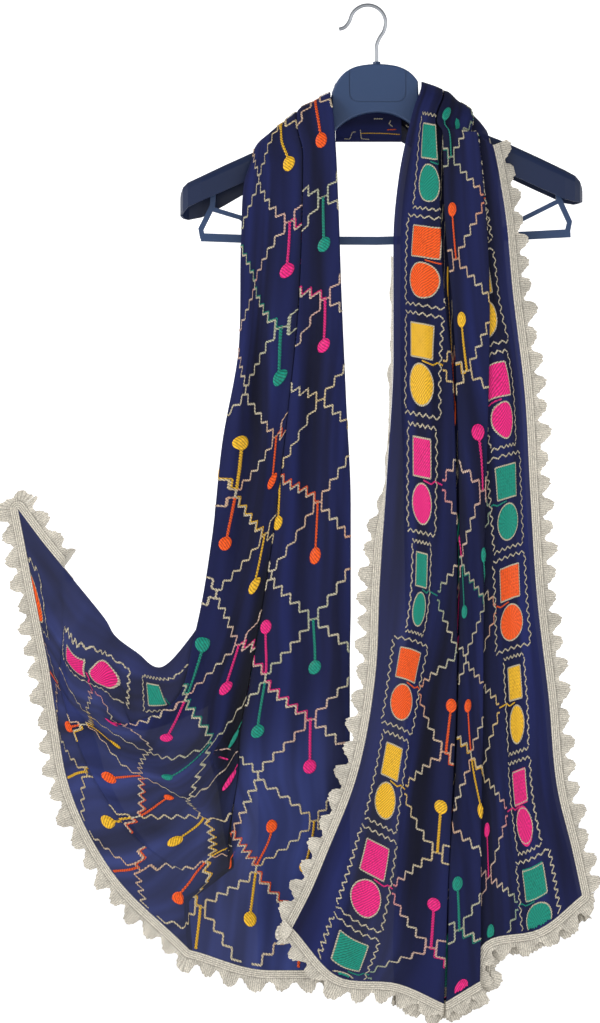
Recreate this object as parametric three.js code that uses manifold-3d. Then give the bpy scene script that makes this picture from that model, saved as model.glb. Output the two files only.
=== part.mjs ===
// A dupatta hung over a coat hanger: both ends fall in front, and the middle passes behind the hanger's head.
// Millimetres, +Z up, front towards -Y. The origin is the inside top of the hook, where a rail holds it.
import * as THREE from "three";
import { mergeVertices } from "three/addons/utils/BufferGeometryUtils.js";
import Module from "manifold-3d";

const wasm = await Module();
wasm.setup();

// ---------- driving sizes ----------
const CLOTH_WIDTH = 780; // across the dupatta, between its two long edges
const WALL = 1.1; // the cloth with its embroidery
const SEAM = 0.3; // the gap between neighbouring pieces
const LACE_REACH = 20; // the ribbed band with its scalloped fringe
const LACE_WALL = 1.0;
const FALL_PITCH = 2.2; // from one hidden pass of cloth to the next, in the falls
const RIDGE_PITCH = 1.3; // the same, pressed together over the hanger's arms
const NECK_PITCH = 1.5;

const HOOK = { wire: 4, radius: 20, centreZ: -18, stemX: 10, stemFoot: -61 };
const HEAD = { depth: 20, bevel: 1.6, collarTall: 8, collarRadius: 5 };
const PANEL = { left: -20, right: 42, top: -60, bottom: -106, corner: 11, line: 0.8, sunk: 0.8 };
const ARM_WALL = 2.2;
const BAR = { tall: 9, deep: 8, leg: 6, strut: 5 };

const COLOURS = { plastic: 0x27304a, steel: 0xb9bcc2, cloth: 0x1d2152, lace: 0xd8d1c2 };

// ---------- materials and meshes ----------
const group = new THREE.Group();

function material(kind) {
  const metal = kind === "steel";
  const roughness = { plastic: 0.45, steel: 0.25, cloth: 0.85, lace: 0.9 }[kind];
  return new THREE.MeshStandardMaterial({ color: COLOURS[kind], roughness, metalness: metal ? 1 : 0 });
}

function addPiece(name, geometry, kind) {
  const mesh = new THREE.Mesh(geometry, material(kind));
  mesh.name = name;
  group.add(mesh);
}

function solidOf(geometry) {
  const bare = geometry.clone();
  bare.deleteAttribute("normal");
  bare.deleteAttribute("uv");
  const merged = mergeVertices(bare, 1e-4);
  const vertProperties = merged.attributes.position.array;
  const triVerts = new Uint32Array(merged.index.array);
  return new wasm.Manifold(new wasm.Mesh({ numProp: 3, vertProperties, triVerts }));
}

function geometryOf(solid) {
  const mesh = solid.getMesh();
  const geometry = new THREE.BufferGeometry();
  geometry.setAttribute("position", new THREE.BufferAttribute(mesh.vertProperties, 3));
  geometry.setIndex(new THREE.BufferAttribute(mesh.triVerts, 1));
  return geometry;
}

// A wall of even thickness on a grid of points, rows by columns, closed all round.
function wallGeometry(grid, thickness) {
  const rows = grid.length;
  const cols = grid[0].length;
  const outer = [];
  const inner = [];
  for (let r = 0; r < rows; r++)
    for (let c = 0; c < cols; c++) {
      const along = grid[Math.min(r + 1, rows - 1)][c].clone().sub(grid[Math.max(r - 1, 0)][c]);
      const before = grid[r][c].clone().sub(grid[r][Math.max(c - 1, 0)]).normalize();
      const after = grid[r][Math.min(c + 1, cols - 1)].clone().sub(grid[r][c]).normalize();
      const across = before.add(after);
      const normal = across.cross(along).normalize().multiplyScalar(thickness / 2);
      outer.push(grid[r][c].clone().add(normal));
      inner.push(grid[r][c].clone().sub(normal));
    }
  const points = [...outer, ...inner];
  const back = outer.length;
  const index = [];
  const quad = (a, b, c, d) => index.push(a, b, c, a, c, d);
  for (let r = 0; r + 1 < rows; r++)
    for (let c = 0; c + 1 < cols; c++) {
      const a = r * cols + c;
      quad(a, a + 1, a + cols + 1, a + cols);
      quad(back + a, back + a + cols, back + a + cols + 1, back + a + 1);
    }
  for (let c = 0; c + 1 < cols; c++) {
    const last = (rows - 1) * cols + c;
    quad(c + 1, c, back + c, back + c + 1);
    quad(last, last + 1, back + last + 1, back + last);
  }
  for (let r = 0; r + 1 < rows; r++) {
    const a = r * cols;
    const b = a + cols - 1;
    quad(a, a + cols, back + a + cols, back + a);
    quad(b + cols, b, back + b, back + b + cols);
  }
  const geometry = new THREE.BufferGeometry().setFromPoints(points);
  geometry.setIndex(index);
  return geometry;
}

// ---------- small helpers ----------
const lerp = (a, b, t) => a + (b - a) * t;
const clamp = (x, low, high) => Math.min(high, Math.max(low, x));
const vec = (x, y, z) => new THREE.Vector3(x, y, z);

function ease(low, high, x) {
  const t = clamp((x - low) / (high - low), 0, 1);
  return t * t * (3 - 2 * t);
}

// Rows of numbers under named columns.
function table(columns, rows) {
  const names = columns.split(" ");
  return rows.map((row) => Object.fromEntries(names.map((name, i) => [name, row[i]])));
}

// The point at a distance along a chain of guide points, carried straight on past either end.
function alongChain(chain, distance) {
  let left = distance;
  for (let i = 0; i + 1 < chain.length; i++) {
    const step = chain[i].distanceTo(chain[i + 1]);
    const last = i + 2 === chain.length;
    if (left <= step || last) return chain[i].clone().lerp(chain[i + 1], left / step);
    left -= step;
  }
}

function chainLength(chain) {
  let sum = 0;
  for (let i = 0; i + 1 < chain.length; i++) sum += chain[i].distanceTo(chain[i + 1]);
  return sum;
}

// ---------- how a row of cloth is folded ----------
// A row has panels, which are chains of guide points on the visible face, and an inward direction.
// Its stations follow the cloth from one long edge to the other: a panel, a place along that panel,
// and a level, which counts the hidden passes inward from the visible face.

// A rounded turn at a place, from one level to another. heading is +1 where the cloth runs outward.
function turn(panel, place, heading, from, to, pitch, softness = 1) {
  const radius = (Math.abs(to - from) * pitch * softness) / 2;
  return [
    [panel, place - heading * radius, from],
    [panel, place, (from + to) / 2],
    [panel, place - heading * radius, to],
  ];
}

function pointsOf(row, stations) {
  return stations.map(([panel, place, level]) =>
    alongChain(row.panels[panel], place).addScaledVector(row.inward, level * row.pitch),
  );
}

// The direction that the hidden passes lie in. roll is 0 in front, 90 on a ridge and 180 behind.
function inwardOf(roll, slope) {
  const angle = THREE.MathUtils.degToRad(roll);
  const up = vec(-Math.sin(slope), 0, Math.cos(slope));
  return up.multiplyScalar(-Math.sin(angle)).add(vec(0, Math.cos(angle), 0));
}

// A row over a hanger's arm: straight from its inner end to its outer end, cut into panels.
function ridgeRow(row, cuts, bulge) {
  const inner = vec(row.inX, row.inY, row.inZ);
  const outer = vec(row.outX, row.outY, row.outZ);
  const slope = Math.atan2(outer.z - inner.z, outer.x - inner.x);
  const upright = Math.cos(slope) < 0 ? slope + Math.PI : slope;
  const inward = inwardOf(row.roll, upright);
  const swell = bulge * Math.sin(THREE.MathUtils.degToRad(row.roll));
  const place = (share) => inner.clone().lerp(outer, share).addScaledVector(inward, -4 * swell * share * (1 - share));
  return { ...row, panels: cuts.map((panel) => panel.map(place)), inward, pitch: RIDGE_PITCH, ridge: true };
}

// ---------- the left fall ----------
// v runs up from the left hem. in: the fold beside the window. lip: the valley between the two front
// panels. a, b, c: on the second panel. edge: its outer fold. far: the outer long edge where it shows.
// hidden: the cloth tucked into the valley. tuck: the cloth behind the outer fold. front: the face's Y.
const LEFT_ROWS = table(
  "v inX inZ lipX lipZ aX aZ bX bZ cX cZ edgeX edgeZ farX farZ hidden tuck front",
  [
    [0, -20, -1072, -198, -1050, -284, -964, -335, -859, -345, -802, -354, -740, -389, -560, 5, 0, -22],
    [50, -20, -1018, -202, -996, -253, -958, -311, -852, -330, -802, -344, -754, -359, -600, 40, 0, -22],
    [105, -20, -958, -152, -958, -218, -933, -292, -859, -316, -799, -335, -769, -322, -645, 61, 0, -23],
    [165, -20, -900, -153, -919, -182, -903, -252, -856, -281, -822, -315, -782, -293, -681, 90, 0, -23],
    [225, -20, -844, -144, -856, -186, -883, -225, -858, -242, -831, -297, -788, -281, -701, 137, 8, -24],
    [281, -20, -785, -142, -811, -158, -819, -175, -820, -224, -814, -276, -799, -256, -720, 200, 51, -24],
    [340, -20, -728, -131, -750, -144, -758, -160, -763, -202, -769, -213, -771, -232, -736, 241, 124, -25],
    [400, -19, -669, -121, -691, -131, -701, -143, -709, -180, -710, -194, -705, -197, -702, 264, 150, -26],
    [515, -19, -556, -103, -576, -109, -583, -115, -589, -158, -598, -174, -596, -176, -595, 276, 195, -27],
    [632, -24, -441, -90, -462, -96, -472, -102, -479, -135, -487, -162, -487, -164, -486, 290, 195, -28],
    [749, -29, -328, -78, -348, -86, -355, -97, -359, -120, -366, -143, -372, -145, -371, 306, 195, -30],
    [866, -33, -215, -73, -233, -79, -238, -87, -241, -112, -250, -141, -259, -143, -258, 310, 195, -31],
    [930, -36, -153, -72, -167, -78, -171, -88, -176, -110, -184, -137, -196, -139, -195, 310, 195, -32],
  ],
);

const LEFT_RIDGE = table("inX inY inZ outX outY outZ roll", [
  [-39, -27, -116, -130, -20, -172, 35],
  [-42, -15, -99, -127, -10, -159, 65],
  [-42, 2, -95, -125, 0, -155, 90],
  [-42, 18, -99, -120, 14, -160, 125],
  [-41, 26, -104, -106, 24, -176, 165],
  [-40, 27, -98, -78, 27, -172, 180],
  [-36, 27, -82, -36, 27, -149, 180],
]);
const LEFT_BULGE = 4; // how far the cloth swells above a straight line over the arm
const LEFT_CUTS = [
  [0, 0.21, 0.42],
  [0.42, 0.5, 0.62, 0.8, 1],
  [1, 1.01],
];
const LEFT_SHOWS_EDGE = 400; // up to here the outer long edge shows beyond the outer fold
const LEFT_LACE_TOP = 165; // above this the outer edge's lace is folded away
const LEFT_FLAT_EDGE = 225; // up to here nothing is tucked behind the outer fold
const LEFT_INNER_FOLD = 677; // from the outer long edge to the fold beside the window

// The fan's soft folds: how far each guide of a row stands behind (+) or before (-) the row's face.
const LEFT_RELIEF = table("v a b c edge far", [
  [0, 4, 2, 5, 3, 0],
  [50, 3, 3, 5, 4, 2],
  [105, 2, -1, -3, -2, 1],
  [165, 4, -4, 3, -3, 2],
  [225, 3, -6, 4, -4, 3],
  [281, 2, -3, -5, 0, 4],
]);
const HEM_SAG = table("v drop", [
  [0, 12],
  [50, 8],
  [105, 4],
]);

function leftFrontRow(row) {
  const relief = LEFT_RELIEF.find((entry) => entry.v === row.v) ?? {};
  const at = (name) => vec(row[name + "X"], row.front + (relief[name] ?? 0), row[name + "Z"]);
  const half = at("in").lerp(at("lip"), 0.5);
  half.z -= HEM_SAG.find((entry) => entry.v === row.v)?.drop ?? 0;
  const panels = [
    [at("in"), half, at("lip")],
    [at("lip"), at("a"), at("b"), at("c"), at("edge")],
    [at("edge"), at("far")],
  ];
  return { ...row, panels, inward: vec(0, 1, 0), pitch: FALL_PITCH };
}

// A fold lies along the fan's hem: the strip at the hem passes under the cloth above it, and comes back.
// The shares are of the way from the row below the fold to the row above it, at full strength.
const HEM_FOLD = {
  below: 50,
  above: 105,
  strength: [[0, 0, 0], [0, 0.2, 0.8, 1, 1], [1, 0]],
  steps: [
    { v: 68, plain: 1 / 3, folded: 1.35, back: 7 },
    { v: 88, plain: 2 / 3, folded: 0, back: -2 },
  ],
};

function hemFoldRows(below, above) {
  return HEM_FOLD.steps.map(({ v, plain, folded, back }, step) => {
    const panels = below.panels.map((panel, i) =>
      panel.map((point, j) => {
        const strength = HEM_FOLD.strength[i][j];
        const moved = point.clone().lerp(above.panels[i][j], lerp(plain, folded, strength));
        moved.y += back * strength;
        return moved;
      }),
    );
    const hidden = lerp(below.hidden, above.hidden, (step + 1) / 3);
    return { ...below, v, hidden, panels };
  });
}

// From the inner long edge, behind, round to the first panel, through the valley's five hidden passes
// to the second panel, and round its outer fold to the outer long edge.
function leftStations(row) {
  const [first, second, third] = row.panels.map(chainLength);
  const { pitch, ridge } = row;
  const hidden = ridge ? 310 : row.hidden;
  const deep = ease(10, 90, hidden);
  const inside = Math.min(hidden / 5, first - 10);
  const outside = Math.min(hidden / 5, ridge ? second * 0.5 : second - 15);
  const behind = lerp(1.3, 3, deep);
  const deepest = lerp(1.6, 5, deep);
  const room = ridge ? first + 4 : first + second - LACE_REACH - 6;
  const back = Math.min(CLOTH_WIDTH - LEFT_INNER_FOLD, room);
  const inner = [
    back > first ? [1, back - first, deepest] : [0, back, deepest],
    back > first ? [1, 1, lerp(behind, deepest, 0.6)] : [0, back * 0.6, deepest],
    [0, Math.min(14, first * 0.4), behind],
    [0, 4, 1.4],
    [0, 0, 0.6],
    [0, 3, 0],
    [0, first / 2, 0],
  ];
  const folded = [
    ...turn(0, first, 1, 0, 1, pitch, 1.4),
    ...turn(0, first - inside, -1, 1, 2, pitch),
    [1, 0, 3],
    ...turn(1, outside, 1, 4, 3, pitch),
    ...turn(1, 0.4 * outside, -1, 3, 2, pitch),
    ...turn(1, 0.9 * outside, 1, 2, 1, pitch),
    ...turn(1, 0.5, -1, 1, 0, pitch, 1.4),
  ];
  const valley = folded.map(([panel, place, level], i) => {
    const shallow = ((i + 1) / folded.length - 0.5) * 9;
    const from = panel === 0 ? place - first : place;
    const across = lerp(shallow, from, deep);
    return [across < 0 ? 0 : 1, across < 0 ? first + across : across, level * deep];
  });
  const panel = row.panels[1];
  const middle = [1, 2, 3].map((i) => [1, chainLength(panel.slice(0, i + 1)), 0]);
  return [...inner, ...valley, ...middle, ...leftOuter(row, second, third)];
}

function leftOuter(row, second, third) {
  const { pitch, ridge } = row;
  if (!ridge && row.v <= LEFT_FLAT_EDGE) {
    return [-4, 0, 0.12, 0.25, 0.4, 0.55, 0.7, 0.85, 1].map((t) => (t < 0 ? [1, second + t, 0] : [2, t * third, 0]));
  }
  const lap = ridge ? second - 12 : Math.min(row.tuck / 2, second - 22);
  const shows = !ridge && row.v <= LEFT_SHOWS_EDGE;
  const leaf = shows && row.v < 300 ? 1.2 : 5;
  const end = shows ? [2, third, 2.2] : [1, second - LACE_REACH - 5, leaf + 1];
  return [
    [1, second - 3, 0],
    [1, second, 0.6],
    [1, second - 3, 1.3],
    [1, second - 14, lerp(1.3, leaf, 0.6)],
    ...turn(1, second - lap, -1, leaf, leaf + 1, pitch),
    [1, second - (shows ? 20 : 31), shows ? 2.4 : leaf + 1],
    end,
  ];
}

function leftFall() {
  const front = LEFT_ROWS.map(leftFrontRow);
  const fold = front.findIndex((row) => row.v === HEM_FOLD.above);
  front.splice(fold, 0, ...hemFoldRows(front[fold - 1], front[fold]));
  const rows = [...front, ...LEFT_RIDGE.map((row) => ridgeRow(row, LEFT_CUTS, LEFT_BULGE))];
  const grid = rows.map((row) => pointsOf(row, leftStations(row)));
  const laceRows = rows.filter((row) => row.v <= LEFT_LACE_TOP).length;
  const outerAngles = rows.map((row) => 110 * ease(100, LEFT_LACE_TOP, row.v));
  return { grid, inwards: rows.map((row) => row.inward), laceRows, outerAngles };
}

// ---------- the right fall ----------
// w runs up from the right hem. in: the inner long edge. p, q: on the first panel. lip: its valley.
// exit, bend: the second panel. start, mid, out: the third, which ends at the outer long edge.
// hidden: the cloth tucked into the valley. lap: the cloth between the second and third panels.
const RIGHT_ROWS = table(
  "w inX inZ pX pZ qX qZ lipX lipZ exitX exitZ bendX bendZ startX startZ midX midZ outX outZ hidden lap front",
  [
    [0, -84, -1024, -32, -1069, 40, -1093, 84, -1108, 86, -1106, 124, -1083, 129, -1040, 192, -1028, 237, -988, 316, 85, -44],
    [60, -64, -985, -9, -1025, 45, -1048, 86, -1056, 88, -1040, 125, -1023, 129, -981, 187, -962, 226, -937, 320, 80, -44],
    [127, -45, -940, 4, -970, 50, -989, 88, -997, 89, -974, 125, -961, 129, -914, 176, -890, 211, -877, 324, 77, -44],
    [244, -10, -847, 23, -861, 60, -880, 93, -889, 97, -840, 127, -827, 130, -789, 164, -775, 200, -768, 367, 80, -43],
    [361, 8, -745, 41, -752, 72, -768, 98, -775, 100, -730, 128, -717, 131, -678, 162, -661, 187, -655, 386, 78, -41],
    [478, 13, -643, 59, -650, 80, -657, 99, -662, 101, -619, 129, -606, 132, -561, 153, -552, 180, -545, 415, 98, -39],
    [595, 21, -520, 60, -529, 80, -533, 98, -536, 99, -475, 133, -467, 135, -443, 147, -439, 174, -434, 482, 68, -37],
    [712, 28, -390, 58, -396, 77, -400, 93, -402, 94, -348, 135, -336, 138, -323, 147, -322, 161, -322, 500, 60, -35],
    [829, 28, -280, 60, -284, 72, -286, 82, -287, 84, -228, 130, -218, 134, -217, 142, -218, 151, -221, 528, 70, -33],
    [925, 34, -192, 62, -196, 71, -197, 79, -197, 82, -142, 120, -141, 126, -147, 131, -150, 138, -156, 530, 77, -33],
  ],
);

const RIGHT_RIDGE = table("inX inY inZ outX outY outZ roll", [
  [50, -29, -118, 136, -20, -155, 35],
  [59, -16, -92, 134, -10, -142, 65],
  [60, 2, -83, 131, 0, -136, 90],
  [60, 18, -90, 126, 14, -142, 125],
  [54, 26, -100, 114, 24, -166, 165],
  [48, 27, -92, 80, 27, -168, 180],
  [38, 27, -78, 38, 27, -149, 180],
]);
const RIGHT_BULGE = 9;
const RIGHT_LACE_TOP = 829; // above this the inner edge's lace is folded away
const RIGHT_CUTS = [
  [0, 0.18, 0.3, 0.42],
  [0.43, 0.74],
  [0.76, 0.88, 1],
];

function rightFrontRow(row) {
  const at = (name) => vec(row[name + "X"], row.front, row[name + "Z"]);
  const panels = [
    [at("in"), at("p"), at("q"), at("lip")],
    [at("exit"), at("bend")],
    [at("start"), at("mid"), at("out")],
  ];
  return { ...row, panels, inward: vec(0, 1, 0), pitch: FALL_PITCH };
}

// From the inner long edge over the first panel, through the valley's five hidden passes, the last of
// which wraps round behind the others, to the second panel, then two passes to the third panel.
function rightStations(row) {
  const [first, second, third] = row.panels.map(chainLength);
  const { pitch, ridge } = row;
  const stays = ridge ? 8 : Math.max(8, -12 - row.inX); // before the left fall it is one layer
  const inside = Math.min(60, first - stays);
  const lap = Math.min((ridge ? 70 : row.lap) / 2, second - 18);
  const [p, q] = [2, 3].map((count) => chainLength(row.panels[0].slice(0, count)));
  const far = (distance) => (ridge ? [1, second - distance + 3] : [2, third - distance]);
  return [
    [0, 0, 0],
    [0, p, 0],
    [0, q, 0],
    ...turn(0, first, 1, 0, 1, pitch, 1.4),
    ...turn(0, first - inside, -1, 1, 2, pitch),
    [0, first - 6, 2.6],
    [1, 6, 3.6],
    ...turn(0, 13, 1, 4, 5, pitch).map(([, place, level]) => [...far(26 - place), level]),
    [1, 6, 4.4],
    [0, first - 6, 3.6],
    ...turn(0, first - inside + 2, -1, 3, 4, pitch),
    [0, first - 6, 4.6],
    [1, 6, 5.4],
    [...far(9), 6],
    [...far(5), 4.6],
    [...far(9), 3.2],
    [1, second - (ridge ? 12 : 2), 3],
    [1, Math.min(14, second * 0.4), 2.6],
    ...turn(1, 0.5, -1, 1, 0, pitch, 1.4),
    [1, second / 2, 0],
    ...turn(1, second, 1, 0, 1, pitch, 1.2),
    ...turn(1, second - lap, -1, 1, 2, pitch),
    [2, 1, ridge ? 1.6 : 2],
    [2, third / 2, ridge ? 0.8 : 1.6],
    [2, third, ridge ? 0.2 : 1.4],
  ];
}

function rightFall() {
  const ridge = RIGHT_RIDGE.map((row) => ridgeRow(row, RIGHT_CUTS, RIGHT_BULGE));
  const rows = [...RIGHT_ROWS.map(rightFrontRow), ...ridge];
  const grid = rows.map((row) => pointsOf(row, rightStations(row)).reverse());
  const innerAngles = rows.map((row) => 85 * ease(450, RIGHT_LACE_TOP, row.w));
  const innerRows = rows.filter((row) => row.w <= RIGHT_LACE_TOP).length;
  const outerRows = RIGHT_ROWS.length + 1;
  return { grid, inwards: rows.map((row) => row.inward), innerAngles, innerRows, outerRows };
}

// ---------- the stretch behind the head ----------
const NECK_ROWS = table("x top bottom", [
  [-35.3, -82, -149],
  [-10, -76, -149],
  [14, -75, -149],
  [37.3, -78, -149],
]);
const NECK_FACE = 27; // its back, level with the falls' last rows
const NECK_PASSES = 10;

function neckStretch() {
  const inward = vec(0, -1, 0);
  const grid = NECK_ROWS.map(({ x, top, bottom }) => {
    const panels = [[vec(x, NECK_FACE, top), vec(x, NECK_FACE, bottom)]];
    const row = { panels, inward, pitch: NECK_PITCH };
    const deep = top - bottom;
    const stations = [[0, LACE_REACH + 4, 0]];
    for (let i = 0; i + 1 < NECK_PASSES; i++) {
      const outward = i % 2 === 0;
      stations.push([0, deep / 2, i], ...turn(0, outward ? deep : 2, outward ? 1 : -1, i, i + 1, NECK_PITCH));
    }
    stations.push([0, LACE_REACH + 5, NECK_PASSES - 1]);
    return pointsOf(row, stations);
  });
  return { grid, inwards: NECK_ROWS.map(() => inward) };
}

// ---------- the lace ----------
// The unit direction from a neighbouring point to an edge point. square is the share of it that is
// turned square to the edge.
function outwardOf(edge, next, i, square) {
  const along = edge[Math.min(i + 1, edge.length - 1)].clone().sub(edge[Math.max(i - 1, 0)]).normalize();
  const raw = edge[i].clone().sub(next[i]).normalize();
  const squared = raw.clone().addScaledVector(along, -raw.dot(along)).normalize();
  return raw.lerp(squared, square).normalize();
}

// A band of even reach along an edge of a stretch. At each point it lies in the cloth's own plane,
// turned about the edge by an angle: 0 outward, 90 inward of the face, near 180 folded back behind.
// Where it meets the next band at a corner, both end along the corner's bisector.
function edgeBand(edge, next, inwards, { angles = [], corners = {}, square = 1 } = {}) {
  return edge.map((point, i) => {
    const angle = THREE.MathUtils.degToRad(angles[i] ?? 0);
    const outward = outwardOf(edge, next, i, square);
    const clear = inwards[i].clone().multiplyScalar((SEAM + WALL) * Math.sin(angle / 2));
    const reach = outward.multiplyScalar(Math.cos(angle)).addScaledVector(inwards[i], Math.sin(angle));
    const start = point.clone().add(clear).addScaledVector(reach, 2.5 * SEAM);
    return [start, start.clone().addScaledVector(corners[i] ?? reach, LACE_REACH)];
  });
}

// The band under a fall's hem.
function hemBand({ grid, inwards }, square) {
  const last = grid[0].length - 1;
  const corners = { 0: cornerOf(grid, 0, 1), [last]: cornerOf(grid, last, last - 1) };
  const all = grid[0].map(() => inwards[0]);
  return edgeBand(grid[0], grid[1], all, { corners, square });
}

// The band beside a fall's long edge, as far up as it shows.
function sideBand({ grid, inwards }, column, beside, rows, angles) {
  const [edge, next] = [column, beside].map((c) => grid.slice(0, rows).map((row) => row[c]));
  const corners = { 0: cornerOf(grid, column, beside) };
  return edgeBand(edge, next, inwards, { angles, corners });
}

// The direction in which both bands end at a corner of the cloth.
function cornerOf(grid, column, beside) {
  const [edge, next] = [column, beside].map((c) => grid.slice(0, 2).map((row) => row[c]));
  const aside = outwardOf(edge, next, 0, 1);
  return outwardOf(grid[0], grid[1], column, 1).add(aside).normalize();
}

// ---------- the hanger ----------
function extruded(shape, depth, bevel) {
  const options = { depth: depth - 2 * bevel, bevelEnabled: bevel > 0, bevelThickness: bevel };
  const size = { bevelSize: bevel, bevelOffset: -bevel, bevelSegments: 2, curveSegments: 10 };
  const geometry = new THREE.ExtrudeGeometry(shape, { ...options, ...size });
  geometry.translate(0, 0, -(depth - 2 * bevel) / 2);
  return geometry.rotateX(Math.PI / 2);
}

function hook() {
  const { wire, radius, centreZ, stemX, stemFoot } = HOOK;
  const path = [vec(-32, 0, -25), vec(-26, 0, -23), vec(-21.5, 0, -18)];
  for (let degrees = 170; degrees >= 0; degrees -= 17) {
    const angle = THREE.MathUtils.degToRad(degrees);
    path.push(vec(radius * Math.cos(angle), 0, centreZ + radius * Math.sin(angle)));
  }
  path.push(vec(18, 0, -27), vec(13, 0, -35), vec(stemX, 0, -43), vec(stemX, 0, -50), vec(stemX, 0, stemFoot));
  const section = new THREE.Shape().absarc(0, 0, wire / 2, 0, 2 * Math.PI);
  const extrudePath = new THREE.CatmullRomCurve3(path);
  return new THREE.ExtrudeGeometry(section, { steps: 64, curveSegments: 6, extrudePath });
}

function panelShape(grow) {
  const { left, right, top, bottom, corner } = PANEL;
  const shape = new THREE.Shape();
  shape.moveTo(left - grow, top);
  shape.lineTo(left - grow, bottom + corner);
  shape.quadraticCurveTo(left - grow, bottom - grow, left + corner, bottom - grow);
  shape.lineTo(right - corner, bottom - grow);
  shape.quadraticCurveTo(right + grow, bottom - grow, right + grow, bottom + corner);
  shape.lineTo(right + grow, top);
  shape.closePath();
  return shape;
}

// The head's plate with an arched foot, a collar for the hook, and a fine groove round a bare panel.
function hangerHead() {
  const plate = new THREE.Shape();
  plate.moveTo(-40, -96);
  plate.quadraticCurveTo(-31, -70, -8, -66);
  plate.quadraticCurveTo(10, -62.5, 30, -66);
  plate.quadraticCurveTo(48, -70, 56, -84);
  plate.lineTo(58, -142);
  plate.quadraticCurveTo(40, -118, 11, -117.5);
  plate.quadraticCurveTo(-20, -118, -40, -142);
  plate.closePath();
  const { collarTall, collarRadius } = HEAD;
  const collar = new THREE.CylinderGeometry(collarRadius - 1, collarRadius, collarTall, 20).rotateX(Math.PI / 2);
  collar.translate(HOOK.stemX, 0, HOOK.stemFoot - SEAM - collarTall / 2);
  const groove = solidOf(extruded(panelShape(PANEL.line), 2 * PANEL.sunk, 0));
  const line = groove.subtract(solidOf(extruded(panelShape(0), 4 * PANEL.sunk, 0)));
  const body = solidOf(extruded(plate, HEAD.depth, HEAD.bevel)).add(solidOf(collar));
  return geometryOf(body.subtract(line.translate([0, -HEAD.depth / 2, 0])));
}

// An arm is a channel, open below: its section runs from the front wall's foot over the top to the back.
const ARM_SECTION = table("side drop", [
  [-1, 1],
  [-1, 0.25],
  [-0.94, 0.1],
  [-0.75, 0.02],
  [0, 0],
  [0.75, 0.02],
  [0.94, 0.1],
  [1, 0.25],
  [1, 1],
]);
const LEFT_ARM = table("x top front back half", [
  [-41, -108, -143, -143, 8],
  [-60, -124, -156, -160, 9],
  [-90, -145, -174, -181, 10.5],
  [-127, -162, -191, -202, 12.5],
  [-160, -177, -206, -221, 15],
  [-185, -189, -217, -234, 17],
  [-200, -196, -224, -237, 16.5],
  [-205, -201, -229, -236, 12],
  [-207.5, -208, -232, -234, 5],
  [-208, -213, -232, -233, 1.4],
]);
const RIGHT_ARM = table("x top front back half", [
  [59, -101, -143, -143, 8],
  [80, -116, -151, -152, 9],
  [110, -134, -166, -168, 10.5],
  [151, -150, -184, -187, 13],
  [190, -168, -202, -205, 15.5],
  [219, -182, -215, -218, 17],
  [230, -188, -218, -220, 16],
  [235.5, -194, -218, -219, 11],
  [238, -201, -217, -218, 5],
  [238.5, -205, -217, -217.5, 1.4],
]);

function armChannel(stations) {
  const grid = stations.map(({ x, top, front, back, half }) =>
    ARM_SECTION.map(({ side, drop }) =>
      vec(x, side * (half - ARM_WALL / 2), lerp(top - ARM_WALL / 2, side < 0 ? front : back, drop)),
    ),
  );
  if (stations[0].x > 0) grid.reverse();
  return wallGeometry(grid, ARM_WALL);
}

// A flat strip of even width along a chain of [x, z] points.
function strip(points, width) {
  const chain = points.map(([x, z]) => new THREE.Vector2(x, z));
  const sides = chain.map((point, i) => {
    const before = chain[Math.max(i - 1, 0)];
    const after = chain[Math.min(i + 1, chain.length - 1)];
    const across = after.clone().sub(before).normalize().rotateAround(new THREE.Vector2(), Math.PI / 2);
    return [point.clone().addScaledVector(across, width / 2), point.clone().addScaledVector(across, -width / 2)];
  });
  const outline = [...sides.map((side) => side[1]), ...sides.map((side) => side[0]).reverse()];
  return solidOf(extruded(new THREE.Shape(outline), BAR.deep, 0));
}

// The trouser bar with a leg and a slanting strut at each end; the legs stand inside the arms' channels.
function trouserBar() {
  const bar = strip([[-186, -257], [-90, -260.5], [11, -261], [120, -258], [226, -252.5]], BAR.tall);
  const leftLeg = strip([[-171, -186.6], [-173, -222], [-186, -248], [-184, -258]], BAR.leg);
  const leftStrut = strip([[-172, -226], [-142, -235], [-112, -258]], BAR.strut);
  const rightLeg = strip([[210, -182], [213, -214], [225, -240], [222, -254]], BAR.leg);
  const rightStrut = strip([[212, -217], [168, -239], [140, -256]], BAR.strut);
  return geometryOf([leftLeg, leftStrut, rightLeg, rightStrut].reduce((sum, part) => sum.add(part), bar));
}

// ---------- the whole ----------
const left = leftFall();
const right = rightFall();
const neck = neckStretch();
addPiece("left_fall", wallGeometry(left.grid, WALL), "cloth");
addPiece("neck_stretch", wallGeometry(neck.grid, WALL), "cloth");
addPiece("right_fall", wallGeometry(right.grid, WALL), "cloth");

const lastLeft = left.grid[0].length - 1;
const lastRight = right.grid[0].length - 1;
const leftOuterBand = sideBand(left, lastLeft, lastLeft - 1, left.laceRows, left.outerAngles);
const rightOuterBand = sideBand(right, 0, 1, right.outerRows, []);
const rightInnerBand = sideBand(right, lastRight, lastRight - 1, right.innerRows, right.innerAngles);
addPiece("left_hem_lace", wallGeometry(hemBand(left, 0.5), LACE_WALL), "lace");
addPiece("left_outer_lace", wallGeometry(leftOuterBand, LACE_WALL), "lace");
addPiece("right_hem_lace", wallGeometry(hemBand(right, 0), LACE_WALL), "lace");
addPiece("right_outer_lace", wallGeometry(rightOuterBand.reverse(), LACE_WALL), "lace");
addPiece("right_inner_lace", wallGeometry(rightInnerBand, LACE_WALL), "lace");

addPiece("hook", hook(), "steel");
addPiece("hanger_head", hangerHead(), "plastic");
addPiece("left_arm", armChannel(LEFT_ARM), "plastic");
addPiece("right_arm", armChannel(RIGHT_ARM), "plastic");
addPiece("trouser_bar", trouserBar(), "plastic");

export default group;
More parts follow.
